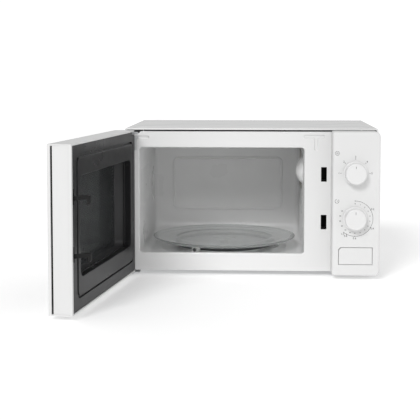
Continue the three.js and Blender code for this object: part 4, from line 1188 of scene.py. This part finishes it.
studio = {"sky": 0.6, "floorGlow": 0.28, "floorSize": 40, "backdrop": 30}
floorMesh = bmesh.new()
bmesh.ops.create_grid(floorMesh, x_segments=1, y_segments=1, size=studio["floorSize"])
floor = asObject(floorMesh, "studioFloor")
floorPaint = makeFinish("studio_floor", {"tone": grey(0.9), "rough": 0.8, "patch": (3, 0.0, 0.02),
                        "sockets": {"Emission Color": (1, 1, 1, 1),
                                    "Emission Strength": studio["floorGlow"]}})
floor.data.materials.append(floorPaint)

world = bpy.data.worlds.new("studio")
bpy.context.scene.world = world
world.use_nodes = True
sky = world.node_tree
sky.nodes["Background"].inputs["Color"].default_value = (1, 1, 1, 1)
sky.nodes["Background"].inputs["Strength"].default_value = studio["sky"]
bpy.context.scene.view_settings.view_transform = "Standard"

# a plain white backdrop all round, seen but casting no light
backdropMesh = bmesh.new()
bmesh.ops.create_icosphere(backdropMesh, subdivisions=4, radius=studio["backdrop"])
bmesh.ops.reverse_faces(backdropMesh, faces=backdropMesh.faces)
backdrop = asObject(backdropMesh, "studioBackdrop")
backdropPaint = makeFinish("studio_backdrop", {"tone": grey(0.02), "rough": 1.0, "patch": (0.1, 0.0, 0.0),
                           "sockets": {"Emission Color": (1, 1, 1, 1), "Emission Strength": 1.0}})
backdrop.data.materials.append(backdropPaint)
for ray in ("visible_diffuse", "visible_glossy", "visible_transmission", "visible_volume_scatter",
            "visible_shadow"):
    setattr(backdrop, ray, False)

def lightFrom(name, kind, look):
    data = bpy.data.lights.new(name, kind)
    data.energy = look["power"]
    light = newObject(name, data)
    light.location = look["from"]
    light.rotation_euler = (Vector(look["to"]) - light.location).to_track_quat("-Z", "Y").to_euler()
    return data


suns = {
    "keyLight": {"from": (-0.42, -1.0, 0.72), "to": (0, 0, 0), "power": 1.4, "spread": 18},
    "fillLight": {"from": (1.0, -0.8, 0.35), "to": (0, 0, 0), "power": 0.25, "spread": 60},
}
for name, look in suns.items():
    lightFrom(name, "SUN", look).angle = math.radians(look["spread"])

# a narrow light through the mouth onto the cavity's floor
spotLook = {"from": (-0.06, -1.25, 0.72), "to": (-0.02, 0.16, 0.03), "power": 22, "cone": 15, "radius": 0.15}
spot = lightFrom("cavityLight", "SPOT", spotLook)
spot.spot_size = math.radians(spotLook["cone"])
spot.spot_blend = 1.0
spot.shadow_soft_size = spotLook["radius"]

view = {"from": (241.6, -1895.3, base + 362.4), "yaw": 2.677, "pitch": 4.2, "lens": 91.22, "shift": -0.15}
camera = bpy.data.cameras.new("camera")
camera.lens = view["lens"]
camera.sensor_width = 36
camera.shift_y = view["shift"]
camera.clip_end = 200
cameraObject = newObject("camera", camera)
cameraObject.location = inPlace @ Vector(view["from"])
cameraObject.rotation_euler = (math.radians(90 - view["pitch"]), 0, math.radians(view["yaw"]))
bpy.context.scene.camera = cameraObject
print("stage set")
